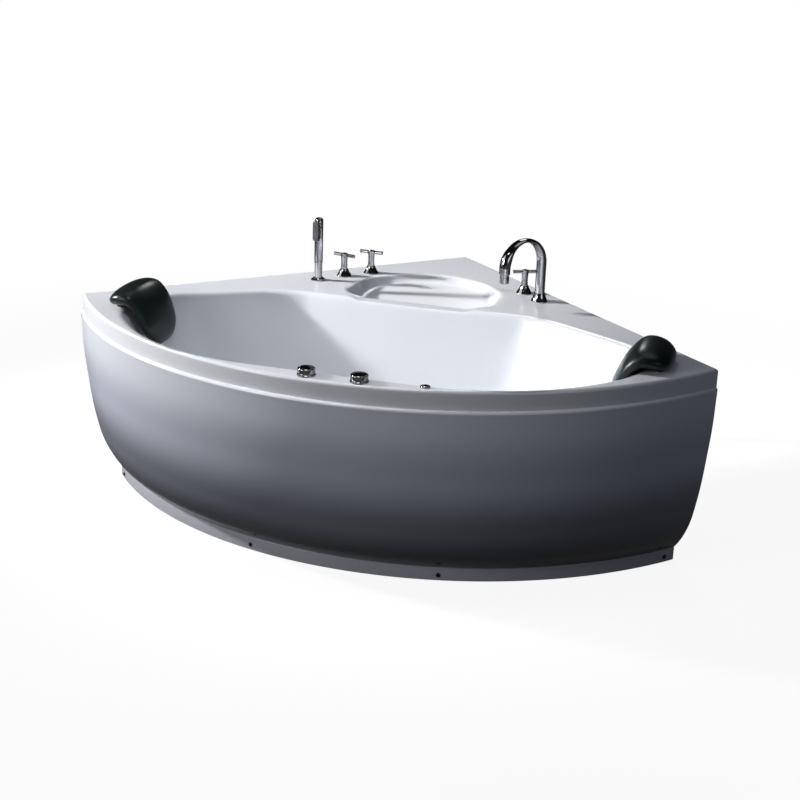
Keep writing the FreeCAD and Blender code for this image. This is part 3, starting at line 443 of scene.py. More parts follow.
tub = {
    "wallSide": 1.5, "rimBow": 0.57, "rimHeight": 0.68, "bandHeight": 0.058,
    "ledgeOut": 0.011, "shellWall": 0.006, "edgeRound": 0.01, "floorTop": 0.23,
    "edgeCorners": ((0.439, 0.076, 0.3), (0.952, -0.232, 0.24), (0.567, -0.732, 0.65)),
    "sideFalls": (0.132, 0.18, 0.23, 0.103),
    "floorRoundings": (0.25, 0.19, 0.48),
    # height and share of the way from the basin's edge to its floor
    "wallProfile": ((0.68, -0.16), (0.68, -0.09), (0.6775, -0.045), (0.67, -0.01),
                    (0.657, 0.018), (0.6, 0.12), (0.43, 0.385), (0.33, 0.617), (0.29, 0.71),
                    (0.24, 0.94), (0.2305, 1.06), (0.23, 1.25)),
    "shelfCorners": ((0.265, 0.119, 0.085), (0.257, 0.355, 0.195), (0.127, 0.494, 0.24)),
    "shelfDrop": 0.052, "shelfTilt": 0.72,
    "shelfProfile": ((-0.006, 0.0), (-0.002, 0.015), (0.005, 0.1), (0.02, 0.6),
                     (0.036, 0.93), (0.048, 1.0), (0.06, 1.0)),
    "lipCorners": ((0.2, 0.058, 0.04), (0.2, 0.146, 0.04)),
    "lipProfile": ((-0.026, 0.0), (-0.012, 0.0018), (0.004, 0.0068), (0.018, 0.009)),
    "nearShelf": (0.3, 0.03, 0.52),   # half width, front and back of what the two can reach
    "blendPower": 6,
    "middleY": -0.34, "raysFrom": -0.3,
    # samples along the right half of each outline, back to front
    "segments": (34, 84, 16, 34, 38, 30, 4), "cornerEase": 2.2,
    "shelfSegments": (4, 16, 12, 20, 12, 20, 8), "lipSegments": (8, 10, 8, 10, 8),
    "deckRings": 108, "basinRings": 46, "floorRings": 6, "edgeSteps": 7,
    # the wall's line: samples, weight of its run across, smoothing, and how its rings spread
    "wallSamples": (400, 360), "acrossWeight": 0.17, "wallSmooth": (12, 4.5), "ringSpread": 1.35,
    "underSteps": (8, 5, 2), "valleyFrom": 28,   # rings between those of the underside
}
halfWidth = tub["wallSide"] / math.sqrt(2)
rimRadius = (halfWidth ** 2 + tub["rimBow"] ** 2) / (2 * tub["rimBow"])
cornerY = (halfWidth + tub["rimBow"] + tub["ledgeOut"]) / 2
arcY = cornerY - halfWidth - tub["rimBow"] + rimRadius


def basinCorners(share):
    rim = [np.array(c[:2]) for c in tub["edgeCorners"]]
    starts = [np.array((0, rim[0][1]))] + rim
    ends = rim + [np.array((0, rim[2][1]))]
    lines = []
    for start, end, fall in zip(starts, ends, tub["sideFalls"]):
        along = (end - start) / np.linalg.norm(end - start)
        lines.append((start + np.array((along[1], -along[0])) * fall * share, along))
    corners = []
    for (p, d), (q, e), edge, floor in zip(
            lines, lines[1:], tub["edgeCorners"], tub["floorRoundings"]):
        scale = ((q[0] - p[0]) * e[1] - (q[1] - p[1]) * e[0]) / (d[0] * e[1] - d[1] * e[0])
        spot = p + d * scale
        corners.append((spot[0], spot[1], edge[2] + (floor - edge[2]) * share))
    return corners


def halfOutline(corners, counts):
    # straight sides and rounded corners of the right half, as evenly counted points
    points = [np.array((0, corners[0][1]))] + [np.array(c[:2]) for c in corners]
    points.append(np.array((0, corners[-1][1])))
    line, last = [], points[0]
    for i, (_, _, rounding) in enumerate(corners):
        here = points[i + 1]
        back = (points[i] - here) / np.linalg.norm(points[i] - here)
        ahead = (points[i + 2] - here) / np.linalg.norm(points[i + 2] - here)
        half = math.acos(np.clip(back @ ahead, -1, 1)) / 2
        reach = rounding / math.tan(half)
        inwards = (back + ahead) / np.linalg.norm(back + ahead)
        centre = here + inwards * rounding / math.sin(half)
        start, end = here + back * reach, here + ahead * reach
        steps = counts[2 * i]
        line += [last + (start - last) * t / steps for t in range(steps)]
        first = math.atan2(*(start - centre)[::-1])
        sweep = math.copysign(math.pi - 2 * half, back[1] * ahead[0] - back[0] * ahead[1])
        steps = counts[2 * i + 1]
        line += [centre + rounding * np.array((math.cos(first + sweep * t / steps),
                                               math.sin(first + sweep * t / steps)))
                 for t in range(steps)]
        last = end
    steps = counts[-1]
    line += [last + (points[-1] - last) * t / steps for t in range(steps + 1)]
    return np.array(line)


def wholeOutline(corners, counts):
    right = halfOutline(corners, counts)
    left = right[-2:0:-1] * np.array((-1, 1))
    return np.vstack([right, left])


def evened(ring, width):
    # eases the joins between the straight sides and the rounded corners
    count = len(ring)
    reach = int(3 * width)
    offsets = np.arange(-reach, reach + 1)
    weights = np.exp(-0.5 * (offsets / width) ** 2)
    weights /= weights.sum()
    return sum(w * ring[(np.arange(count) + o) % count] for w, o in zip(weights, offsets))


def wallCut(apex, centre, radius):
    # how far out the front's circle meets a straight side
    gap = apex - centre
    return (gap + math.sqrt(2 * radius * radius - gap * gap)) / 2


def sectorCorner(inset):
    apex = cornerY - inset * math.sqrt(2)
    x = wallCut(apex, arcY, rimRadius - inset)
    return np.array((x, apex - x))


def sectorRing(directions, origin, inset, tips):
    # where rays from the basin's middle reach the tub's outline
    apex = cornerY - inset * math.sqrt(2)
    dx, dy = directions[:, 0], directions[:, 1]
    slope = dy + np.abs(dx)
    walls = np.where(slope > 1e-6, (apex - origin[1]) / np.maximum(slope, 1e-6), 1e9)
    radius = rimRadius - inset
    toCentre = origin - np.array((0, arcY))
    b = directions @ toCentre
    front = -b + np.sqrt(b * b - (toCentre @ toCentre - radius * radius))
    ring = origin + directions * np.minimum(walls, front)[:, None]
    corner = sectorCorner(inset)
    ring[tips[0]] = corner
    ring[tips[1]] = corner * np.array((-1, 1))
    return ring


def outlineDistance(points, outline):
    # how far inside a closed outline each point lies; negative outside
    best = np.full(len(points), 1e9)
    inside = np.zeros(len(points), bool)
    for a, b in zip(outline, np.roll(outline, -1, axis=0)):
        edge = b - a
        t = np.clip(((points - a) @ edge) / max(edge @ edge, 1e-12), 0, 1)
        best = np.minimum(best, np.linalg.norm(points - a - t[:, None] * edge, axis=1))
        spans = (a[1] > points[:, 1]) != (b[1] > points[:, 1])
        with np.errstate(divide="ignore", invalid="ignore"):
            x = a[0] + (points[:, 1] - a[1]) * edge[0] / edge[1]
        inside ^= spans & (points[:, 0] < x)
    return np.where(inside, best, -best)


def eased(values, table):
    # a smooth curve through a table of places and values, flat beyond its ends
    xs, ys = np.array([r[0] for r in table]), np.array([r[1] for r in table])
    slopes = np.diff(ys) / np.diff(xs)
    tangents = np.zeros(len(xs))
    for i in range(1, len(xs) - 1):
        if slopes[i - 1] * slopes[i] > 0:
            tangents[i] = 2 * slopes[i - 1] * slopes[i] / (slopes[i - 1] + slopes[i])
    v = np.clip(values, xs[0], xs[-1])
    k = np.clip(np.searchsorted(xs, v, side="right") - 1, 0, len(xs) - 2)
    gap = xs[k + 1] - xs[k]
    return hermite((v - xs[k]) / gap, gap, ys, tangents, k)


def deckDepth(points, basinDepth):
    # the basin, the corner shelf and the lip between them, blended into one another
    power = tub["blendPower"]
    depth = np.maximum(basinDepth, 0) ** power
    halfWide, nearest, furthest = tub["nearShelf"]
    near = (np.abs(points[:, 0]) < halfWide) & (points[:, 1] > nearest) & (points[:, 1] < furthest)
    spots = points[near]
    inside = outlineDistance(spots, wholeOutline(tub["shelfCorners"], tub["shelfSegments"]))
    front = tub["shelfCorners"][0][1]
    length = tub["shelfCorners"][-1][1] - front
    tilt = 1 - tub["shelfTilt"] * np.clip((spots[:, 1] - front) / length, 0, 1)
    shelf = tub["shelfDrop"] * eased(inside, tub["shelfProfile"]) * tilt
    inside = outlineDistance(spots, wholeOutline(tub["lipCorners"], tub["lipSegments"]))
    lip = eased(inside, tub["lipProfile"])
    depth[near] += np.maximum(shelf, 0) ** power + np.maximum(lip, 0) ** power
    return depth ** (1 / power)


def basinWall(settings):
    # the wall's line from the deck down to the floor, smoothed, as one row a ring
    def sampled(line, places, at):
        return np.column_stack([np.interp(at, places, line[:, k]) for k in (0, 1)])

    first, second = settings["wallSamples"]
    line = np.array([(share, height) for height, share in settings["wallProfile"]])
    line = sampled(line, range(len(line)), np.linspace(0, len(line) - 1, first))
    reach = np.concatenate([[0], np.cumsum(np.linalg.norm(
        np.diff(line * np.array((settings["acrossWeight"], 1)), axis=0), axis=1))])
    line = sampled(line, reach, np.linspace(0, reach[-1], second))
    reach, width = settings["wallSmooth"]
    kernel = np.exp(-0.5 * (np.arange(-reach, reach + 1) / width) ** 2)
    kernel /= kernel.sum()
    padded = np.vstack([np.repeat(line[:1], reach, axis=0), line,
                        np.repeat(line[-1:], reach, axis=0)])
    line = np.column_stack([np.convolve(padded[:, k], kernel, "valid") for k in (0, 1)])
    # closer rings over the rounded edge, wider ones down the wall
    spread = np.linspace(0, 1, settings["basinRings"]) ** settings["ringSpread"]
    return sampled(line, range(len(line)), spread * (len(line) - 1))


def undersideRings(settings, top, start, floorFrom):
    # the back of the sheet follows the upper face at its thickness, with fewer rings
    aroundRings = np.roll(top, -1, axis=1) - np.roll(top, 1, axis=1)
    normals = np.cross(aroundRings, np.gradient(top, axis=0))
    normals /= np.maximum(np.linalg.norm(normals, axis=2)[..., None], 1e-12)
    normals[normals[..., 2] < 0] *= -1
    reach, wallStep, valleyStep = settings["underSteps"]
    valley = floorFrom + settings["valleyFrom"]
    picked = [*range(start, floorFrom, reach), *range(floorFrom, valley, wallStep),
              *range(valley, len(top), valleyStep)]
    under = top[picked] - normals[picked] * settings["shellWall"]
    # below the deck it stays under the lowest part of the upper face near by
    for row, index in enumerate(picked):
        if index < floorFrom - 2:
            window = top[max(index - reach, 0):index + reach + 1, :, 2].min(axis=0)
            window = np.min([np.roll(window, shift) for shift in (-2, -1, 0, 1, 2)], axis=0)
            under[row, :, 2] = np.minimum(under[row, :, 2], window - settings["shellWall"])
    return list(under)


def buildShell(settings):
    rim, floor, wallGap = (settings[key] for key in ("rimHeight", "floorTop", "shellWall"))
    basin = [(evened(wholeOutline(basinCorners(share), settings["segments"]),
                     settings["cornerEase"]), height) for share, height in basinWall(settings)]
    edge = basin[0][0]
    around = len(edge)
    origin = np.array((0, settings["raysFrom"]))
    rays = (edge - origin) / np.linalg.norm(edge - origin, axis=1)[:, None]
    corner = sectorCorner(0) - origin
    corner /= np.linalg.norm(corner)
    tips = [int(np.argmax(rays @ corner)), int(np.argmax(rays @ (corner * (-1, 1))))]
    rings = []

    def ring(points, depth):
        rings.append(np.column_stack([points, rim - (depth + np.zeros(around))]))

    # up the outside of the band and over its rounded edge
    soft, band = settings["edgeRound"], settings["bandHeight"]
    outside = [(0.0, band * share) for share in (1, 0.66, 0.33)] + [(0.0, soft)]
    outside += [(soft * (1 - math.cos(t)), soft * (1 - math.sin(t)))
                for t in np.linspace(0, math.pi / 2, settings["edgeSteps"])[1:]]
    for inset, depth in outside:
        ring(sectorRing(rays, origin, inset, tips), depth)
    outer = rings[-1][:, :2]
    steps = settings["deckRings"]
    for step in range(1, steps + 1):
        points = outer + (edge - outer) * step / steps
        ring(points, deckDepth(points, np.zeros(around)))
    for points, height in basin[1:]:
        ring(points, deckDepth(points, np.full(around, rim - height)))
    middle = np.array((0, settings["middleY"]))
    last = rings[-1][:, :2]
    for step in range(1, settings["floorRings"]):
        share = 1 - step / settings["floorRings"]
        ring(middle + (last - middle) * share, rim - floor)

    under = undersideRings(settings, np.array(rings), len(outside), len(outside) + steps)
    inner = sectorRing(rays, origin, wallGap, tips)
    bandBack = [np.column_stack([inner, np.full(around, rim - depth)])
                for depth in (wallGap + 0.001, band)]
    rings = under[::-1] + bandBack + rings
    points = list(np.vstack(rings))
    faces = ringFaces(len(rings), around)
    for index, height in ((0, floor - wallGap), (len(rings) - 1, floor)):
        points.append(np.array((*middle, height)))
        faces += fanFaces(index, around, len(points) - 1)
    piece = meshPiece("bathShell", points, faces)
    piece.data.materials.append(looks["acrylic"])
    piece.data.materials.append(looks["backing"])
    # the back of the sheet faces down and away from the basin
    for polygon in piece.data.polygons:
        inwards = Vector((*middle, 0)) - polygon.center
        inwards.z = 0
        normal = polygon.normal
        if normal.z < -0.02 and normal.z + normal.dot(inwards.normalized()) < 0:
            polygon.material_index = 1
    piece.data.shade_smooth()
    piece.data.set_sharp_from_angle(angle=math.radians(50))
    intoScene(piece)
    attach(piece, "tub")
    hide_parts("bath_shell")
    return piece


shell = buildShell(tub)
shellSurface = BVHTree.FromPolygons([v.co.copy() for v in shell.data.vertices],
                                    [tuple(p.vertices) for p in shell.data.polygons])
print("bath shell:", len(shell.data.polygons), "faces")


def newTree(name, inputs):
    # an empty Geometry Nodes tree with named sizes and a material
    tree = bpy.data.node_groups.new(name, "GeometryNodeTree")
    tree.interface.new_socket("Geometry", in_out="INPUT", socket_type="NodeSocketGeometry")
    for label, value in inputs.items():
        kind = "NodeSocketInt" if isinstance(value, int) else "NodeSocketFloat"
        tree.interface.new_socket(label, in_out="INPUT", socket_type=kind).default_value = value
    tree.interface.new_socket("Material", in_out="INPUT", socket_type="NodeSocketMaterial")
    tree.interface.new_socket("Geometry", in_out="OUTPUT", socket_type="NodeSocketGeometry")
    return tree, tree.nodes.new("NodeGroupInput").outputs, tree.nodes.new("NodeGroupOutput")


def closeTree(tree, start, end, geometry):
    real = addNode(tree, "GeometryNodeRealizeInstances", {"Geometry": geometry})
    dressed = addNode(tree, "GeometryNodeSetMaterial", {
        "Geometry": real.outputs[0], "Material": start["Material"]})
    tree.links.new(dressed.outputs[0], end.inputs["Geometry"])


def applied(piece):
    # the mesh that a piece's modifiers make, kept as its own
    graph = bpy.context.evaluated_depsgraph_get()
    mesh = bpy.data.meshes.new_from_object(piece.evaluated_get(graph))
    piece.modifiers.clear()
    piece.data = mesh
    return piece


def grown(name, tree, points, values, look):
    # runs a tree over a few points and keeps the result as a plain mesh
    seed = bpy.data.meshes.new(name + "Seed")
    seed.from_pydata([tuple(p) for p in points], [], [])
    piece = bpy.data.objects.new(name, seed)
    intoScene(piece)
    modifier = piece.modifiers.new("grow", "NODES")
    modifier.node_group = tree
    values = dict(values, Material=looks[look])
    for item in tree.interface.items_tree:
        if item.in_out == "INPUT" and item.name in values:
            modifier[item.identifier] = values[item.name]
    return applied(piece)


def mathChain(tree):
    # short calls for the arithmetic of a tree
    return lambda operation, *values: addNode(
        tree, "ShaderNodeMath", enumerate(values), operation=operation).outputs[0]


def makeTipTree():
    # a short rubber tip at each point, standing along +Z until it is turned
    tree, start, end = newTree("sprayTips", {"Tip Radius": 0.001, "Tip Height": 0.0008})
    cone = addNode(tree, "GeometryNodeMeshCone", {
        "Vertices": 10, "Radius Bottom": start["Tip Radius"], "Depth": start["Tip Height"]})
    run = mathChain(tree)
    tree.links.new(run("MULTIPLY", start["Tip Radius"], 0.55), cone.inputs["Radius Top"])
    placed = addNode(tree, "GeometryNodeInstanceOnPoints", {
        "Points": start["Geometry"], "Instance": cone.outputs["Mesh"]})
    closeTree(tree, start, end, placed.outputs[0])
    return tree


def turnTips(piece, points, direction):
    # each tip stands square to the plate that carries it
    turn = Vector(direction).to_track_quat("Z", "Y").to_matrix()
    mesh = piece.data
    each = len(mesh.vertices) // len(points)
    for index, vertex in enumerate(mesh.vertices):
        anchor = Vector(points[index // each])
        vertex.co = anchor + turn @ (vertex.co - anchor)


tipTree = makeTipTree()

apronSettings = {
    "across": 260, "levels": 90, "thickness": 0.005, "return": 0.03, "ledgeRound": 0.009,
    "ledgeSteps": 7, "deepest": 0.2,
    # height, and how far the sheet stands behind the rim there
    "line": ((0.046, 0.198), (0.075, 0.163), (0.112, 0.127), (0.16, 0.093), (0.22, 0.066),
             (0.3, 0.039), (0.4, 0.016), (0.5, -0.003), (0.57, -0.008), (0.622, -0.011)),
}


def makeApronTree(settings):
    # a grid bent to the bowed front: columns run wall to wall, rows from the base to the ledge
    low, high = settings["line"][0][0], settings["line"][-1][0]
    tree, start, end = newTree("bowedSheet", {
        "Columns": settings["across"], "Rows": settings["levels"], "Bottom": low, "Top": high,
        "Deepest Setback": settings["deepest"], "Front Radius": rimRadius, "Front Centre": arcY,
        "Corner": cornerY})
    run = mathChain(tree)
    grid = addNode(tree, "GeometryNodeMeshGrid", {
        "Size X": 2.0, "Size Y": 1.0, "Vertices X": start["Columns"],
        "Vertices Y": start["Rows"]})
    place = addNode(tree, "ShaderNodeSeparateXYZ",
                    {0: tree.nodes.new("GeometryNodeInputPosition").outputs[0]}).outputs
    rise = run("ADD", place["Y"], 0.5)
    curve = tree.nodes.new("ShaderNodeFloatCurve")
    curve.inputs["Factor"].default_value = 1
    tree.links.new(rise, curve.inputs["Value"])
    line = curve.mapping.curves[0]
    for index, (height, setback) in enumerate(settings["line"]):
        spot = ((height - low) / (high - low), 0.5 + setback / (2 * settings["deepest"]))
        if index in (0, 1):
            line.points[index].location = spot
        else:
            line.points.new(*spot)
    curve.mapping.update()
    setback = run("MULTIPLY", run("SUBTRACT", curve.outputs[0], 0.5),
                  run("MULTIPLY", start["Deepest Setback"], 2.0))
    height = run("ADD", start["Bottom"], run("MULTIPLY", rise, run(
        "SUBTRACT", start["Top"], start["Bottom"])))
    # the wall line cuts the circle of this level at sideX
    centre = run("ADD", start["Front Centre"], setback)
    gap = run("SUBTRACT", start["Corner"], centre)
    radius = start["Front Radius"]
    root = run("SQRT", run("SUBTRACT", run("MULTIPLY", run("MULTIPLY", radius, radius), 2.0),
                           run("MULTIPLY", gap, gap)))
    sideX = run("MULTIPLY", run("ADD", gap, root), 0.5)
    turn = run("MULTIPLY", place["X"], run("ARCSINE", run("DIVIDE", sideX, radius)))
    spot = addNode(tree, "ShaderNodeCombineXYZ", {
        "X": run("MULTIPLY", radius, run("SINE", turn)),
        "Y": run("SUBTRACT", centre, run("MULTIPLY", radius, run("COSINE", turn))),
        "Z": height})
    bent = addNode(tree, "GeometryNodeSetPosition", {
        "Geometry": grid.outputs["Mesh"], "Position": spot.outputs[0]})
    closeTree(tree, start, end, bent.outputs[0])
    return tree


def buildApron(settings):
    tree = makeApronTree(settings)
    piece = grown("apronPanel", tree, [(0, 0, 0)], {}, "apron_acrylic")
    columns, rows = settings["across"], settings["levels"]
    sheet = np.array([v.co for v in piece.data.vertices])
    bpy.data.objects.remove(piece)
    order = np.lexsort((sheet[:, 0], np.round(sheet[:, 2], 5)))
    sheet = sheet[order].reshape(rows, columns, 3)
    # rounded ledge and a turned-in top, then the same line back down inside
    centre = np.array((0, arcY + settings["line"][-1][1], 0))

    def outwardsOf(row):
        outwards = row - centre
        outwards[:, 2] = 0
        return outwards / np.linalg.norm(outwards, axis=1)[:, None]

    top = sheet[-1]
    outwards = outwardsOf(top)
    soft, thick = settings["ledgeRound"], settings["thickness"]
    keep = sheet[:, 0, 2] < top[0, 2] - soft
    rings = list(sheet[keep])
    for turn in np.linspace(0, math.pi / 2, settings["ledgeSteps"]):
        rings.append(top - outwards * soft * (1 - math.cos(turn))
                     + np.array((0, 0, 1)) * soft * (math.sin(turn) - 1))
    rings += [top - outwards * settings["return"] * share for share in (0.4, 0.7, 1.0)]
    under = np.array((0, 0, thick))
    rings += [rings[-1] - under, top - outwards * (thick + 0.001) - under]
    rings += [row - outwardsOf(row) * thick for row in sheet[keep][::-3]]
    rings.append(sheet[0] - outwards * thick)
    panel = meshPiece("apronPanel", np.vstack(rings), sheetFaces(len(rings), columns))
    finishPiece(panel, "apron_acrylic", "tub", ("apron",), 40)


buildApron(apronSettings)

stripSettings = {"height": 0.046, "setback": 0.198, "thickness": 0.018, "soft": 0.003,
                 "across": 240}


def buildStrip(settings):
    high, thick, soft = settings["height"], settings["thickness"], settings["soft"]
    section = softened([(0, 0.02), (0, 0.0004), (thick, 0.0), (thick, high), (0, high),
                        (0, 0.02)], soft, 5)
    centre = arcY + settings["setback"]
    rings = []
    for depth, height in section[:-1]:
        radius = rimRadius - depth
        reach = math.asin(wallCut(cornerY, centre, radius) / radius)
        turns = np.linspace(-reach, reach, settings["across"])
        rings.append(np.column_stack([radius * np.sin(turns), centre - radius * np.cos(turns),
                                      np.full(len(turns), height)]))
    strip = meshPiece("baseStrip", np.vstack(rings), sheetFaces(len(rings), settings["across"]))
    # the strip's grey is painted shade on a white part
    finishPiece(strip, "strip", "tub", ("base_strip",), 40)


buildStrip(stripSettings)
print("apron and base strip made")

screwSettings = {
    "across": (-0.951, -0.31, 0.31, 0.951), "height": 0.019, "radius": 0.0075,
    "thickness": 0.0048,
    "recess": (1.1, 0.2, 0.7),   # each bar's length and width in radii, its depth in thicknesses
}


def makeScrewTree(settings, centre):
    # a domed head with a driver recess at each point, facing away from the front's centre
    tree, start, end = newTree("facingScrews", {
        "Head Radius": settings["radius"], "Head Height": settings["thickness"],
        "Front Centre": centre})
    run = mathChain(tree)
    place = addNode(tree, "ShaderNodeSeparateXYZ",
                    {0: tree.nodes.new("GeometryNodeInputPosition").outputs[0]}).outputs
    outwards = addNode(tree, "ShaderNodeCombineXYZ", {
        "X": place["X"], "Y": run("SUBTRACT", place["Y"], start["Front Centre"]), "Z": 0.0})
    facing = addNode(tree, "FunctionNodeAlignEulerToVector", {
        "Vector": outwards.outputs[0]}, axis="Z")
    dome = addNode(tree, "GeometryNodeMeshUVSphere", {
        "Segments": 24, "Rings": 12, "Radius": start["Head Radius"]})
    scale = addNode(tree, "ShaderNodeCombineXYZ", {
        "X": 1.0, "Y": 1.0, "Z": run("DIVIDE", start["Head Height"], start["Head Radius"])})
    flat = addNode(tree, "GeometryNodeTransform", {
        "Geometry": dome.outputs["Mesh"], "Scale": scale.outputs[0]})
    cut = addNode(tree, "GeometryNodeMeshBoolean", {"Mesh 1": flat.outputs[0]},
                  operation="DIFFERENCE")
    long, wide, deep = settings["recess"]
    for turn in (0, math.pi / 2):
        size = addNode(tree, "ShaderNodeCombineXYZ", {
            "X": run("MULTIPLY", start["Head Radius"], long),
            "Y": run("MULTIPLY", start["Head Radius"], wide),
            "Z": run("MULTIPLY", start["Head Height"], deep)})
        bar = addNode(tree, "GeometryNodeMeshCube", {"Size": size.outputs[0]})
        lift = addNode(tree, "ShaderNodeCombineXYZ", {"Z": start["Head Height"]})
        moved = addNode(tree, "GeometryNodeTransform", {
            "Geometry": bar.outputs["Mesh"], "Rotation": (0, 0, turn),
            "Translation": lift.outputs[0]})
        tree.links.new(moved.outputs[0], cut.inputs["Mesh 2"])
    placed = addNode(tree, "GeometryNodeInstanceOnPoints", {
        "Points": start["Geometry"], "Instance": cut.outputs["Mesh"],
        "Rotation": facing.outputs[0]})
    closeTree(tree, start, end, placed.outputs[0])
    return tree


def buildScrews(settings):
    centre = arcY + stripSettings["setback"]
    points = [(x, centre - math.sqrt(rimRadius ** 2 - x * x), settings["height"])
              for x in settings["across"]]
    screws = grown("stripScrews", makeScrewTree(settings, centre), points, {}, "screw_steel")
    finishPiece(screws, "screw_steel", "tub", ("base_strip_screws",))


buildScrews(screwSettings)

pillowSettings = {
    "middleY": -0.272, "gap": 0.0018, "around": 72, "along": 84, "fill": 0.9,
    "tipShare": 0.035, "sidePower": 0.9, "crownPower": 0.85, "settlings": 3,
    # the left one leans further in, with its nose shortened beyond noseFrom
    "leftShift": 0.02, "noseFrom": 0.85, "leftNose": 0.9, "leftCups": 0.028,
    # nose over the deck to the tip in the basin: underside, outside, half width
    "stations": (((0.932, 0.694), (0.934, 0.700), 0.046), ((0.922, 0.687), (0.926, 0.718), 0.083),
                 ((0.908, 0.683), (0.911, 0.734), 0.104), ((0.88, 0.683), (0.879, 0.7495), 0.120),
                 ((0.846, 0.68), (0.833, 0.7495), 0.1235), ((0.822, 0.657), (0.797, 0.717), 0.12),
                 ((0.808, 0.622), (0.768, 0.665), 0.1125), ((0.793, 0.588), (0.751, 0.606), 0.094),
                 ((0.7835, 0.566), (0.754, 0.571), 0.070), ((0.775, 0.553), (0.764, 0.551), 0.042)),
}


def throughPoints(table, count):
    # a smooth line through rows of numbers, evenly spaced along it
    table = np.array(table, float)
    steps = np.concatenate([[0], np.cumsum(np.linalg.norm(np.diff(table[:, :4], axis=0), axis=1))])
    steps /= steps[-1]
    u = np.linspace(0, 1, count)
    k = np.clip(np.searchsorted(steps, u, side="right") - 1, 0, len(steps) - 2)
    gap = (steps[k + 1] - steps[k])[:, None]
    return hermite((u[:, None] - steps[k][:, None]) / gap, gap, table,
                   np.gradient(table, steps, axis=0), k)


def buildPillow(name, node, side, settings):
    # crowned oval sections that close softly at both tips, resting on the shell
    rows = throughPoints([(*low, *high, wide) for low, high, wide in settings["stations"]],
                         settings["along"])
    rings = []
    for step, (lowX, lowZ, highX, highZ, wide) in enumerate(rows):
        share = step / (len(rows) - 1)
        nearEnd = min(share, 1 - share) / settings["tipShare"]
        close = math.sqrt(max(1 - (1 - min(nearEnd, 1)) ** 2, 0.02))
        low, high = np.array((lowX, lowZ)), np.array((highX, highZ))
        middle, half = (low + high) / 2, (high - low) / 2 * close
        ring = []
        for c, s in circle(settings["around"]):
            across = squared(c, settings["sidePower"]) * wide * close
            out, height = middle + half * squared(s, settings["crownPower"])
            if side < 0:
                out -= settings["leftShift"] + max(out - settings["noseFrom"], 0) * (
                    1 - settings["leftNose"])
            ring.append((side * out, settings["middleY"] + across, height))
        rings.append(ring)
    pillow = cappedRings(name, rings)
    modifier = pillow.modifiers.new("finer", "SUBSURF")
    modifier.levels = modifier.render_levels = 1
    intoScene(pillow)
    applied(pillow)
    # the underside lies on the deck and the basin's end
    for _ in range(settings["settlings"]):
        for vertex in pillow.data.vertices:
            spot, normal, _, _ = shellSurface.find_nearest(vertex.co)
            gap = (vertex.co - spot).dot(normal)
            if normal.z >= 0 and gap < settings["gap"]:
                vertex.co += normal * (settings["gap"] - gap)
    finishPiece(pillow, "pillow", "tub", (node,), 0)


buildPillow("pillowRight", "pillow_right", 1, pillowSettings)
buildPillow("pillowLeft", "pillow_left", -1, pillowSettings)
print("pillows made")

deck = tub["rimHeight"]
showerSettings = {
    "spot": (-0.395, 0.256), "radius": 0.015, "top": 0.225, "flange": 0.026,
    "plateTurn": 248, "plateLow": 0.143, "plateHigh": 0.212, "plateHalf": 0.0135,
    # how far the plate stands out, and its size there
    "plateSteps": ((0.006, 0.99), (0.0165, 1.0), (0.0183, 0.985), (0.0188, 0.93), (0.0189, 0.5),
                   (0.0189, 0.08)),
    "plateAround": 72, "sideways": 0.34, "upright": 0.2,   # lower is squarer
    # rubber tips: columns and rows, spacing across and along, how far out
    "tips": (3, 12), "tipGaps": (0.0068, 0.0052), "tipOut": 0.0187,
    "tip": {"Tip Radius": 0.0011, "Tip Height": 0.0009},
}


def buildShower(settings):
    spot, r, top = settings["spot"], settings["radius"], settings["top"]
    flange = settings["flange"]
    fitting("showerHolder", "tub", ("shower_holder",), [
        (0.0137, -0.055), (0.0195, -0.055), (0.0195, 0.0), (flange, 0.0), (flange, 0.0032),
        (flange - 0.003, 0.0045), (0.0205, 0.0065), (0.0178, 0.0098), (0.0145, 0.0098),
        (0.0137, -0.05)], spot)
    fitting("handShower", "hand_shower", ("hand_shower",), [
        (0.0, -0.055), (0.0128, -0.055), (0.0132, 0.03), (0.0132, 0.0595), (0.0138, 0.0605),
        (r - 0.0004, 0.0625), (r - 0.0004, 0.068), (r - 0.0011, 0.0688), (r - 0.0011, 0.0702),
        (r, 0.071), (r, 0.13), (r, top - 0.0095), (r - 0.0018, top - 0.0045),
        (r - 0.0055, top - 0.0012), (0.0, top)], spot, 80, 0.0012)
    # the spray plate stands proud of the barrel behind a thin frame
    turn = math.radians(settings["plateTurn"])
    ahead = Vector((math.cos(turn), math.sin(turn), 0))
    side = Vector((-math.sin(turn), math.cos(turn), 0))
    base = Vector((*spot, deck))
    low, high, half = (settings[key] for key in ("plateLow", "plateHigh", "plateHalf"))
    middle = (low + high) / 2
    rings = [[base + ahead * depth + side * squared(c, settings["sideways"]) * half * share
              + Vector((0, 0, middle + squared(s, settings["upright"]) * (high - low) / 2
                        * (1 - (1 - share) * 0.2)))
              for c, s in circle(settings["plateAround"])]
             for depth, share in settings["plateSteps"]]
    plate = cappedRings("sprayPlate", rings)
    finishPiece(plate, "spray_plate", "hand_shower", ("hand_shower_face",), 40)
    (across, along), (acrossGap, alongGap) = settings["tips"], settings["tipGaps"]
    points = [base + ahead * settings["tipOut"] + side * (i - (across - 1) / 2) * acrossGap
              + Vector((0, 0, middle + (j - (along - 1) / 2) * alongGap))
              for j in range(along) for i in range(across)]
    tips = grown("sprayTips", tipTree, points, settings["tip"], "cup")
    turnTips(tips, points, ahead)
    finishPiece(tips, "cup", "hand_shower")


buildShower(showerSettings)

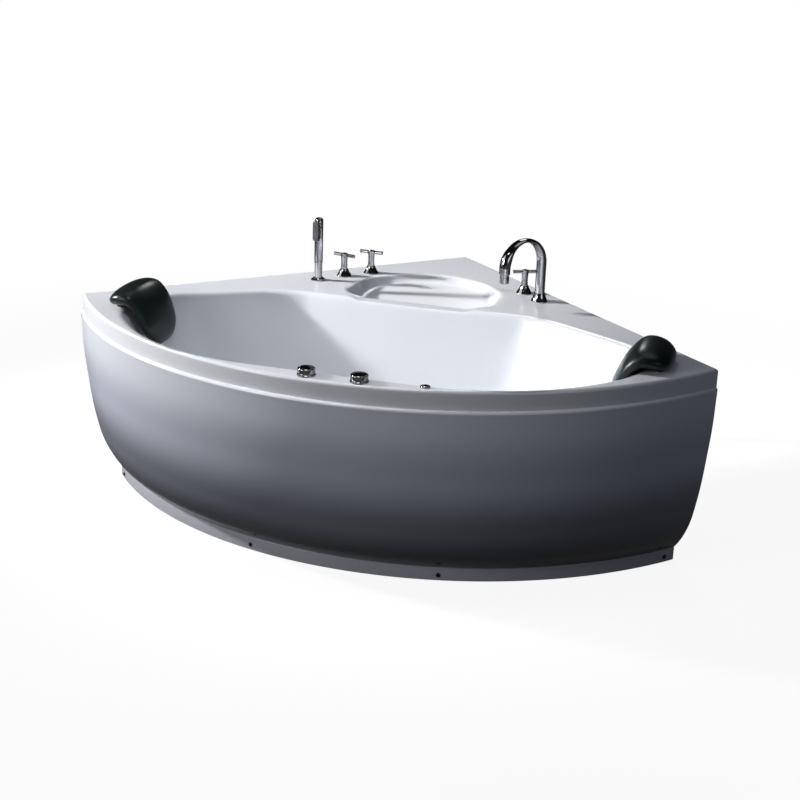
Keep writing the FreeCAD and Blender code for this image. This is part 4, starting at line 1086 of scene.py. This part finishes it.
valveSettings = {
    "hot": {"spot": (-0.330, 0.348), "turn": -15},
    "cold": {"spot": (-0.255, 0.430), "turn": -3},
    "diverter": {"spot": (0.325, 0.382), "turn": 27},
    "bell": 0.027, "stem": 0.012, "barHeight": 0.077, "barRadius": 0.0065, "barLength": 0.086,
}


def buildValve(name, settings):
    own = settings[name]
    bell, stem = settings["bell"], settings["stem"]
    fitting(name + "Bell", "tub", (name + "_valve_base",), [
        (stem + 0.0001, 0.0002), (bell, 0.0002), (bell, 0.0022), (bell - 0.0014, 0.0040),
        (0.0235, 0.0078), (0.0208, 0.0122), (0.0183, 0.0166), (0.0163, 0.0212),
        (0.0151, 0.0256), (0.0142, 0.0268), (stem + 0.0001, 0.0268)], own["spot"], soft=0.0012)
    high = settings["barHeight"]
    stand = facingMatrix((*own["spot"], deck))
    stemPiece = turnedPiece(name + "Stem", [
        (0.0, 0.0027), (0.0118, 0.0027), (0.0118, 0.029), (0.0115, 0.034), (0.0110, 0.042),
        (0.0108, 0.050), (0.0110, 0.058), (0.0115, 0.066), (0.0118, 0.0690), (0.0119, 0.071),
        (0.0119, high + 0.0042), (0.0112, high + 0.0062), (0.0, high + 0.0062)],
        stand, soft=0.0012)
    turn = math.radians(own["turn"])
    along = Vector((math.cos(turn), math.sin(turn), 0))
    half, r = settings["barLength"] / 2, settings["barRadius"]
    place = Vector((*own["spot"], deck + high))
    bar = turnedPiece(name + "Bar", [
        (0.0, -half), (r * 0.86, -half), (r, -half + 0.0012), (r, -half + 0.0044),
        (r * 0.93, -half + 0.0054), (r * 0.93, -half + 0.02), (r * 0.93, -0.015),
        (r * 0.98, -0.0122), (r * 0.98, 0.0122), (r * 0.93, 0.015), (r * 0.93, half - 0.02),
        (r * 0.93, half - 0.0054), (r, half - 0.0044), (r, half - 0.0012), (r * 0.86, half),
        (0.0, half)], facingMatrix(place, along), 64, 0.0006)
    handle = joined(name + "Handle", [stemPiece, bar])
    chromed(handle, name + "_handle", name + "_handle")
    cap = turnedPiece(name + "Cap", [
        (0.0, high + 0.0062), (0.0078, high + 0.0062), (0.0078, high + 0.0069),
        (0.0070, high + 0.0074), (0.0, high + 0.0074)], stand, 48, 0.0003)
    finishPiece(cap, "well", name + "_handle", (), 50)


for name in ("hot", "cold", "diverter"):
    buildValve(name, valveSettings)

spoutSettings = {
    "spot": (0.397, 0.299), "turn": 238, "reach": 0.176, "top": 0.229, "neck": 0.017,
    # angle round the arch, half thickness and half width
    "arch": ((0, 17, 17), (22, 15, 17), (45, 11.5, 17), (68, 8, 17), (90, 6.4, 17.2),
             (112, 7, 17.5), (132, 9.5, 18), (148, 15.5, 18.6), (160, 19, 19), (180, 19, 19)),
    "rings": 90, "around": 72,
    "neckRings": (0.0027, 0.012, 0.03, 0.06, 0.09),
    # height and share of the head's radius, down to its open end
    "headRadius": 0.019, "headRings": ((0.128, 1.0), (0.1215, 1.0), (0.1195, 0.985),
                                       (0.1183, 0.94), (0.118, 0.80)),
    # outlet holes, drawn as dark pins of painted shade: radius and count of each ring, and their
    # height
    "outlet": ((0.0, 1), (0.0033, 6), (0.0064, 12), (0.0093, 18)), "outletHeight": 0.0948,
    "outletPin": {"Tip Radius": 0.0008, "Tip Height": 0.0006},
}


def buildSpout(settings):
    spot = settings["spot"]
    fitting("spoutBell", "tub", ("spout_base",), [
        (0.0171, 0.003), (0.0171, 0.0002), (0.0285, 0.0002), (0.0285, 0.0022), (0.0274, 0.0042),
        (0.0256, 0.0078), (0.0236, 0.0122), (0.0218, 0.0172), (0.0204, 0.0228), (0.0194, 0.0284),
        (0.0186, 0.0298), (0.0171, 0.0298)], spot, soft=0.0012)
    turn = math.radians(settings["turn"])
    out = Vector((math.cos(turn), math.sin(turn), 0))
    sideways = Vector((-math.sin(turn), math.cos(turn), 0))
    up = Vector((0, 0, 1))
    foot = Vector((*spot, deck))
    arch = settings["reach"] / 2
    spring = settings["top"] - 0.0064 - arch
    angles = np.linspace(0, 180, settings["rings"])
    thicks, wides = (eased(angles, [(row[0], row[k] / 1000) for row in settings["arch"]])
                     for k in (1, 2))
    # up the neck, over the arch and down to the open end: middle, rise, half sizes
    neck = settings["neck"]
    line = [(foot + up * height, -out, neck, neck)
            for height in (*settings["neckRings"], spring * 0.85)]
    for angle, thick, wide in zip(np.radians(angles), thicks, wides):
        c, s = math.cos(angle), math.sin(angle)
        line.append((foot + out * (arch - arch * c) + up * (spring + arch * s),
                     -out * c + up * s, thick, wide))
    end = foot + out * settings["reach"]
    line += [(end + up * height, out, settings["headRadius"] * share,
              settings["headRadius"] * share) for height, share in settings["headRings"]]
    chromed(cappedRings("spoutNeck", [
        [centre + sideways * c * wide + rise * s * thick for c, s in circle(settings["around"])]
        for centre, rise, thick, wide in line]), "spout", "spout_neck")
    fitting("spoutAerator", "spout", ("spout_aerator",), [
        (0.0, 0.0305), (0.0135, 0.0305), (0.016, 0.0298), (0.016, 0.0265), (0.0153, 0.0255),
        (0.0153, 0.0225), (0.016, 0.0215), (0.016, 0.0015), (0.0148, 0.0), (0.0112, 0.0),
        (0.0106, 0.001), (0.0106, 0.007), (0.0, 0.007)],
        facingMatrix(end + up * 0.088), 72)
    points = [end + Vector((x, y, settings["outletHeight"]))
              for radius, count in settings["outlet"] for x, y in circle(count, radius)]
    # dark pins of painted shade where the outlet holes are
    pins = grown("aeratorGrid", tipTree, points, settings["outletPin"], "well")
    finishPiece(pins, "well", "spout")


buildSpout(spoutSettings)
print("shower, valves and spout made")

rimSettings = {
    # body, place and turn of the finger scoop
    "knobs": (("air_regulator_1", (-0.054, -0.773), 35),
              ("air_regulator_2", (0.106, -0.772), 120)),
    "knobRadius": 0.026, "knobHeight": 0.023, "collar": 0.0275,
    "button": (0.294, -0.748), "buttonTurn": 200,
    # finger scoops, drawn as dark crescents of painted shade: share of the radius and depth, then
    # steps, sweep and least width
    "knobScoop": (0.42, 0.0022), "buttonScoop": (0.5, 0.0008),
    "scoopSteps": 24, "scoopSweep": 170, "scoopEdge": 0.0004,
}


def scoopPiece(name, body, settings, spot, height, radius, turn, share, depth):
    # a dark crescent of painted shade along one side of a round top, for a finger scoop: three
    # points across, many along
    steps = settings["scoopSteps"]
    rows = []
    for i in range(steps + 1):
        a = math.radians(turn) + (i / steps - 0.5) * math.radians(settings["scoopSweep"])
        wide = share * radius * math.cos((i / steps - 0.5) * math.pi) + settings["scoopEdge"]
        for reach in (radius, radius - wide / 2, radius - wide):
            rows.append((spot[0] + reach * math.cos(a), spot[1] + reach * math.sin(a), height))
    top = len(rows)
    rows += [(x, y, z - depth) for x, y, z in rows]
    faces = []
    for k in range(0, 3 * steps, 3):
        for m in (k, k + 1):
            faces += [(m, m + 1, m + 4, m + 3), (top + m, top + m + 3, top + m + 4, top + m + 1)]
        faces += [(m, m + 3, top + m + 3, top + m) for m in (k, k + 2)]
    for k in (0, 3 * steps):
        faces += [(m, m + 1, top + m + 1, top + m) for m in (k, k + 1)]
    finishPiece(meshPiece(name, rows, faces), "well", body)


def buildRimFittings(settings):
    wide, high, collar = (settings[key] for key in ("knobRadius", "knobHeight", "collar"))
    for index, (body, spot, turn) in enumerate(settings["knobs"], 1):
        fitting("airCollar%d" % index, "tub", (body + "_body",), [
            (0.0052, -0.052), (0.0168, -0.052), (0.0168, 0.0), (collar, 0.0),
            (collar, 0.0038), (collar - 0.0014, 0.005), (0.0052, 0.005)], spot)
        fitting("airKnob%d" % index, body, (body + "_knob",), [
            (0.0, -0.0175), (0.0048, -0.0175), (0.0048, 0.0054), (wide, 0.0054),
            (wide, 0.0068), (wide - 0.0007, 0.0076), (wide, 0.0084), (wide, high - 0.0022),
            (wide - 0.0016, high - 0.0004), (wide - 0.0035, high), (wide - 0.006, high - 0.0008),
            (wide - 0.012, high - 0.0016), (0.0, high - 0.0019)], spot, soft=0.0008)
        scoopPiece("airScoop%d" % index, body, settings, spot, deck + high - 0.0001,
                   wide - 0.0042, turn, *settings["knobScoop"])
    spot = settings["button"]
    fitting("buttonCollar", "tub", ("air_button_collar",), [
        (0.0, -0.012), (0.0, -0.028), (0.0122, -0.028), (0.0122, 0.0), (0.015, 0.0),
        (0.015, 0.0032), (0.0139, 0.0044), (0.0111, 0.0044), (0.0111, -0.012)], spot, 72)
    fitting("buttonCap", "air_button", ("air_button_cap",), [
        (0.0, -0.0068), (0.0109, -0.0068), (0.0109, 0.0048), (0.0096, 0.0059), (0.0, 0.0053)],
        spot, 72)
    scoopPiece("buttonScoop", "air_button", settings, spot, deck + 0.0058, 0.0088,
               settings["buttonTurn"], *settings["buttonScoop"])


buildRimFittings(rimSettings)

basinSettings = {
    "waste": (0, -0.47),
    "overflow": ((0, -0.713218, 0.56), (0, 0.987354, 0.158528)),
    "suction": ((-0.199133, -0.0329, 0.265), (0, -0.854766, 0.519014)),
    "jets": (((-0.491663, -0.085188, 0.33), (0.474945, -0.791061, 0.385551)),
             ((-0.157905, -0.005463, 0.33), (0, -0.956118, 0.292982)),
             ((0.157905, -0.005463, 0.33), (0, -0.956118, 0.292982)),
             ((0.491663, -0.085188, 0.33), (-0.474945, -0.791061, 0.385551))),
    # holes of the suction cover, drawn as dark dots of painted shade: radius and count of each
    # ring, and their height
    "holes": ((0.0, 1), (0.0045, 6), (0.009, 12), (0.0135, 18)), "holeHeight": 0.0078,
    "hole": {"Tip Radius": 0.0013, "Tip Height": 0.0006},
}


def buildBasinFittings(settings):
    matrix = facingMatrix((*settings["waste"], tub["floorTop"]))
    fitting("wasteRing", "tub", ("waste_flange",), [
        (0.0178, -0.078), (0.0249, -0.078), (0.0249, 0.0), (0.035, 0.0), (0.0345, 0.0014),
        (0.0322, 0.0026), (0.0285, 0.003), (0.0262, 0.0026), (0.0256, 0.0012),
        (0.0178, 0.001)], matrix)
    fitting("wastePlug", "plug", ("waste_plug",), [
        (0.0, -0.033), (0.0029, -0.033), (0.0029, 0.0013), (0.025, 0.0013), (0.025, 0.0026),
        (0.0235, 0.0037), (0.019, 0.0047), (0.0, 0.005)], matrix)
    matrix = facingMatrix(*settings["overflow"])
    fitting("overflowPlate", "tub", ("overflow_plate",), [
        (0.0052, -0.023), (0.0158, -0.023), (0.0158, 0.0004), (0.036, 0.0004), (0.036, 0.0026),
        (0.0345, 0.0046), (0.032, 0.0062), (0.0285, 0.007), (0.0052, 0.007)], matrix)
    fitting("overflowKnob", "overflow_control", ("overflow_knob",), [
        (0.0, -0.021), (0.0048, -0.021), (0.0048, 0.0075), (0.025, 0.0075), (0.025, 0.0095),
        (0.0242, 0.0105), (0.0246, 0.0118), (0.024, 0.0168), (0.0222, 0.0186),
        (0.018, 0.019), (0.0, 0.0184)], matrix)
    for index, (spot, facing) in enumerate(settings["jets"], 1):
        matrix = facingMatrix(spot, facing)
        fitting("jetRing%d" % index, "tub", (), [
            (0.0124, -0.03), (0.0155, -0.03), (0.0155, 0.0004), (0.027, 0.0004),
            (0.027, 0.0018), (0.0258, 0.0032), (0.0222, 0.004), (0.0158, 0.0036),
            (0.0131, 0.0022), (0.0124, 0.0)], matrix, 80)
        fitting("jetNozzle%d" % index, "nozzle_%d" % index, ("jet_nozzle_%d" % index,), [
            (0.006, -0.037), (0.0119, -0.037), (0.0119, 0.0025), (0.0112, 0.0052),
            (0.0095, 0.0072), (0.0078, 0.0078), (0.0065, 0.0070), (0.006, 0.0045)], matrix, 72)
    matrix = facingMatrix(*settings["suction"])
    fitting("suctionCover", "tub", ("suction_cover",), [
        (0.0, 0.0005), (0.026, 0.0005), (0.026, 0.0024), (0.0245, 0.0042), (0.0215, 0.0062),
        (0.018, 0.0076), (0.0, 0.008)], matrix, 80)
    points = [matrix @ Vector((x, y, settings["holeHeight"]))
              for radius, count in settings["holes"] for x, y in circle(count, radius)]
    # dark dots of painted shade where the holes are
    holes = grown("suctionHoles", tipTree, points, settings["hole"], "well")
    turnTips(holes, points, settings["suction"][1])
    finishPiece(holes, "well", "tub")


buildBasinFittings(basinSettings)
print("rim and basin fittings made")

# pieces under the deck keep the shape of their solids; each slot is the finish of its own name
hiddenPieces = {
    "board": ("base_board",), "frame_steel": ("support_frame",),
    "cup": ("pillow_left_cups", "pillow_right_cups"),
    "brass": ("hot_valve_body", "cold_valve_body", "diverter_valve_body"),
    "white_plastic": ("waste_trap", "overflow_pipe", "jet_pipe", "suction_body"),
    "pipe": ("suction_pipe",), "pump_body": ("pump_housing",), "motor": ("pump_motor",),
    "steel_pipe": ("supply_tails", "mixer_pipes"),
}
for look, nodes in hiddenPieces.items():
    for node in nodes:
        first, *rest = node.split("_")
        piece = smoothCopy(node, first + "".join(word.title() for word in rest), look)
        if node == "pillow_left_cups":
            piece.data.transform(Matrix.Translation((pillowSettings["leftCups"], 0, 0)))
print("pieces under the deck dressed")

footSettings = {
    "places": ((0, 0.76), (-0.7, 0.06), (0.7, 0.06), (-0.4, -0.48), (0.4, -0.48)),
    "stud": 0.0058, "pitch": 0.00175, "turns": 36, "root": 0.88, "studTop": 0.085,
}


def buildFeet(settings):
    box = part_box("levelling_foot_1")
    wide = (box[1][0] - box[0][0]) / 2
    # a cut thread, each turn a root and a crest
    core, half = settings["stud"], settings["pitch"] * 0.6
    root = core * settings["root"]
    thread = [(0.0, 0.0065)]
    for step in range(settings["turns"]):
        low = 0.0078 + step * settings["pitch"] * 1.2
        thread += [(root, low), (core, low + half)]
    thread += [(root, thread[-1][1] + half), (0.0, settings["studTop"])]
    pad = [(0.0, 0.0), (wide * 0.96, 0.0), (wide, 0.0015), (wide, 0.005), (wide * 0.9, 0.0068),
           (wide * 0.45, 0.0072), (0.0, 0.0072)]
    nut = [(core, 0.0085), (core * 1.75, 0.0085), (core * 1.75, 0.0165), (core, 0.0165)]
    for index, (x, y) in enumerate(settings["places"], 1):
        matrix = facingMatrix((x, y, 0))
        for name, section, around, soft, look, nodes, sharp in (
                ("footPad", pad, 64, 0.0006, "foot_plastic", ("levelling_foot_%d" % index,), 50),
                ("footStud", thread, 28, 0, "foot_steel", (), 20),
                ("footNut", nut, 6, 0, "foot_steel", (), 20)):
            piece = turnedPiece("%s%d" % (name, index), section, matrix, around, soft)
            finishPiece(piece, look, "foot_%d" % index, nodes, sharp)


buildFeet(footSettings)
print("feet made")

stageSettings = {
    "floorShade": 0.2,       # white floor as the camera sees it, with room for a shadow
    "floorGlow": 0.9,
    "floorMirror": 0.06,     # what polished parts see of it
    "floorBounce": 0.06,     # what it gives back to the rest
    "farFrom": 1.6, "farTo": 3.6, "floorHalf": 50,
    "skyLow": 0.012, "skyLight": 0.125, "skyTint": (0.80, 0.86, 1.0),
    # white panels that polished parts see: direction, edge, middle, strength
    "panels": (((-0.80, -0.42, 0.42), 0.86, 0.95, 1.2), ((0.8, -0.55, 0.2), 0.96, 0.99, 1.1),
               ((0.1, 0.3, 0.95), 0.9, 0.97, 0.7)),
    "lamps": {
        "key": {"place": (-5.3, -0.72, 2.68), "aim": (0.15, 0.6, 0.68), "size": 0.5,
                "power": 31, "spread": 40},
        "over": {"place": (-0.15, -0.85, 2.6), "aim": (-0.15, -0.75, 0.68), "size": 0.8,
                 "power": 2.0, "spread": 60},
        "back": {"place": (-0.4, 3.5, 2.9), "aim": (0, 0.2, 0.4), "size": 1.0, "power": 17,
                 "spread": 180},
        "front": {"place": (-3.2, -4.6, 2.4), "aim": (0, -0.3, 0.4), "size": 2.0, "power": 63,
                  "spread": 180},
    },
}


def raysOf(tree, run):
    # what a surface is seen by: the camera, and polished or clear parts
    rays = tree.nodes.new("ShaderNodeLightPath").outputs
    return rays["Is Camera Ray"], run("MAXIMUM", rays["Is Glossy Ray"],
                                      rays["Is Transmission Ray"])


def makeFloor(settings):
    material = bpy.data.materials.new("paleFloor")
    material.use_nodes = True
    tree = material.node_tree
    run = mathChain(tree)
    camera, mirror = raysOf(tree, run)
    place = tree.nodes.new("ShaderNodeTexCoord").outputs["Object"]
    reach = addNode(tree, "ShaderNodeVectorMath", {0: place}, operation="LENGTH").outputs["Value"]
    far = addNode(tree, "ShaderNodeMapRange", {
        "Value": reach, "From Min": settings["farFrom"], "From Max": settings["farTo"]},
        interpolation_type="SMOOTHSTEP").outputs["Result"]
    near = run("SUBTRACT", 1.0, far)
    # beside the object the camera sees a lit floor, further off plain white
    seen = run("MULTIPLY", camera, near)
    shade = run("ADD", run("MULTIPLY", seen, settings["floorShade"]), run(
        "MULTIPLY", run("SUBTRACT", 1.0, camera), settings["floorBounce"]))
    glow = run("ADD", run("MULTIPLY", seen, settings["floorGlow"]), run("MULTIPLY", camera, far))
    glow = run("ADD", glow, run("MULTIPLY", mirror, settings["floorMirror"]))
    colour = addNode(tree, "ShaderNodeCombineColor", {"Red": shade, "Green": shade, "Blue": shade})
    feed(tree, tree.nodes["Principled BSDF"], {
        "Base Color": colour.outputs[0], "Roughness": 1, "Specular IOR Level": 0,
        "Emission Color": (1, 1, 1, 1), "Emission Strength": glow})
    mesh = bpy.data.meshes.new("floor")
    half = settings["floorHalf"]
    mesh.from_pydata([(-half, -half, 0), (half, -half, 0), (half, half, 0), (-half, half, 0)],
                     [], [(0, 1, 2, 3)])
    mesh.materials.append(material)
    floor = bpy.data.objects.new("floor", mesh)
    intoScene(floor)


def makeSky(settings):
    # white behind the object; polished parts see white panels in a dim room
    world = bpy.data.worlds.new("studio")
    bpy.context.scene.world = world
    world.use_nodes = True
    tree = world.node_tree
    run = mathChain(tree)
    camera, mirror = raysOf(tree, run)
    ahead = tree.nodes.new("ShaderNodeTexCoord").outputs["Generated"]
    sky = settings["skyLow"]
    for direction, edge, middle, strength in settings["panels"]:
        facing = addNode(tree, "ShaderNodeVectorMath", {
            0: ahead, 1: Vector(direction).normalized()}, operation="DOT_PRODUCT")
        panel = addNode(tree, "ShaderNodeMapRange", {
            "Value": facing.outputs["Value"], "From Min": edge, "From Max": middle,
            "To Min": 0.0, "To Max": strength}, interpolation_type="SMOOTHSTEP")
        sky = run("ADD", sky, panel.outputs["Result"])
    diffuse = run("SUBTRACT", 1.0, run("MAXIMUM", camera, mirror))
    light = run("ADD", camera, run("ADD", run("MULTIPLY", mirror, sky), run(
        "MULTIPLY", diffuse, settings["skyLight"])))
    tint = mixedColours(tree, diffuse, (1, 1, 1, 1), (*settings["skyTint"], 1))
    feed(tree, tree.nodes["Background"], {"Color": tint, "Strength": light})


def makeLamps(settings):
    for name, lamp in settings["lamps"].items():
        data = bpy.data.lights.new(name + "Lamp", "AREA")
        data.shape = "DISK"
        data.size = lamp["size"]
        data.energy = lamp["power"]
        data.spread = math.radians(lamp["spread"])
        light = bpy.data.objects.new(name + "Lamp", data)
        intoScene(light)
        light.location = lamp["place"]
        light.visible_camera = False
        aim = Vector(lamp["aim"]) - Vector(lamp["place"])
        light.rotation_euler = aim.to_track_quat("-Z", "Y").to_euler()


makeFloor(stageSettings)
makeSky(stageSettings)
makeLamps(stageSettings)
bpy.context.scene.view_settings.view_transform = "Standard"
print("stage and lamps set")
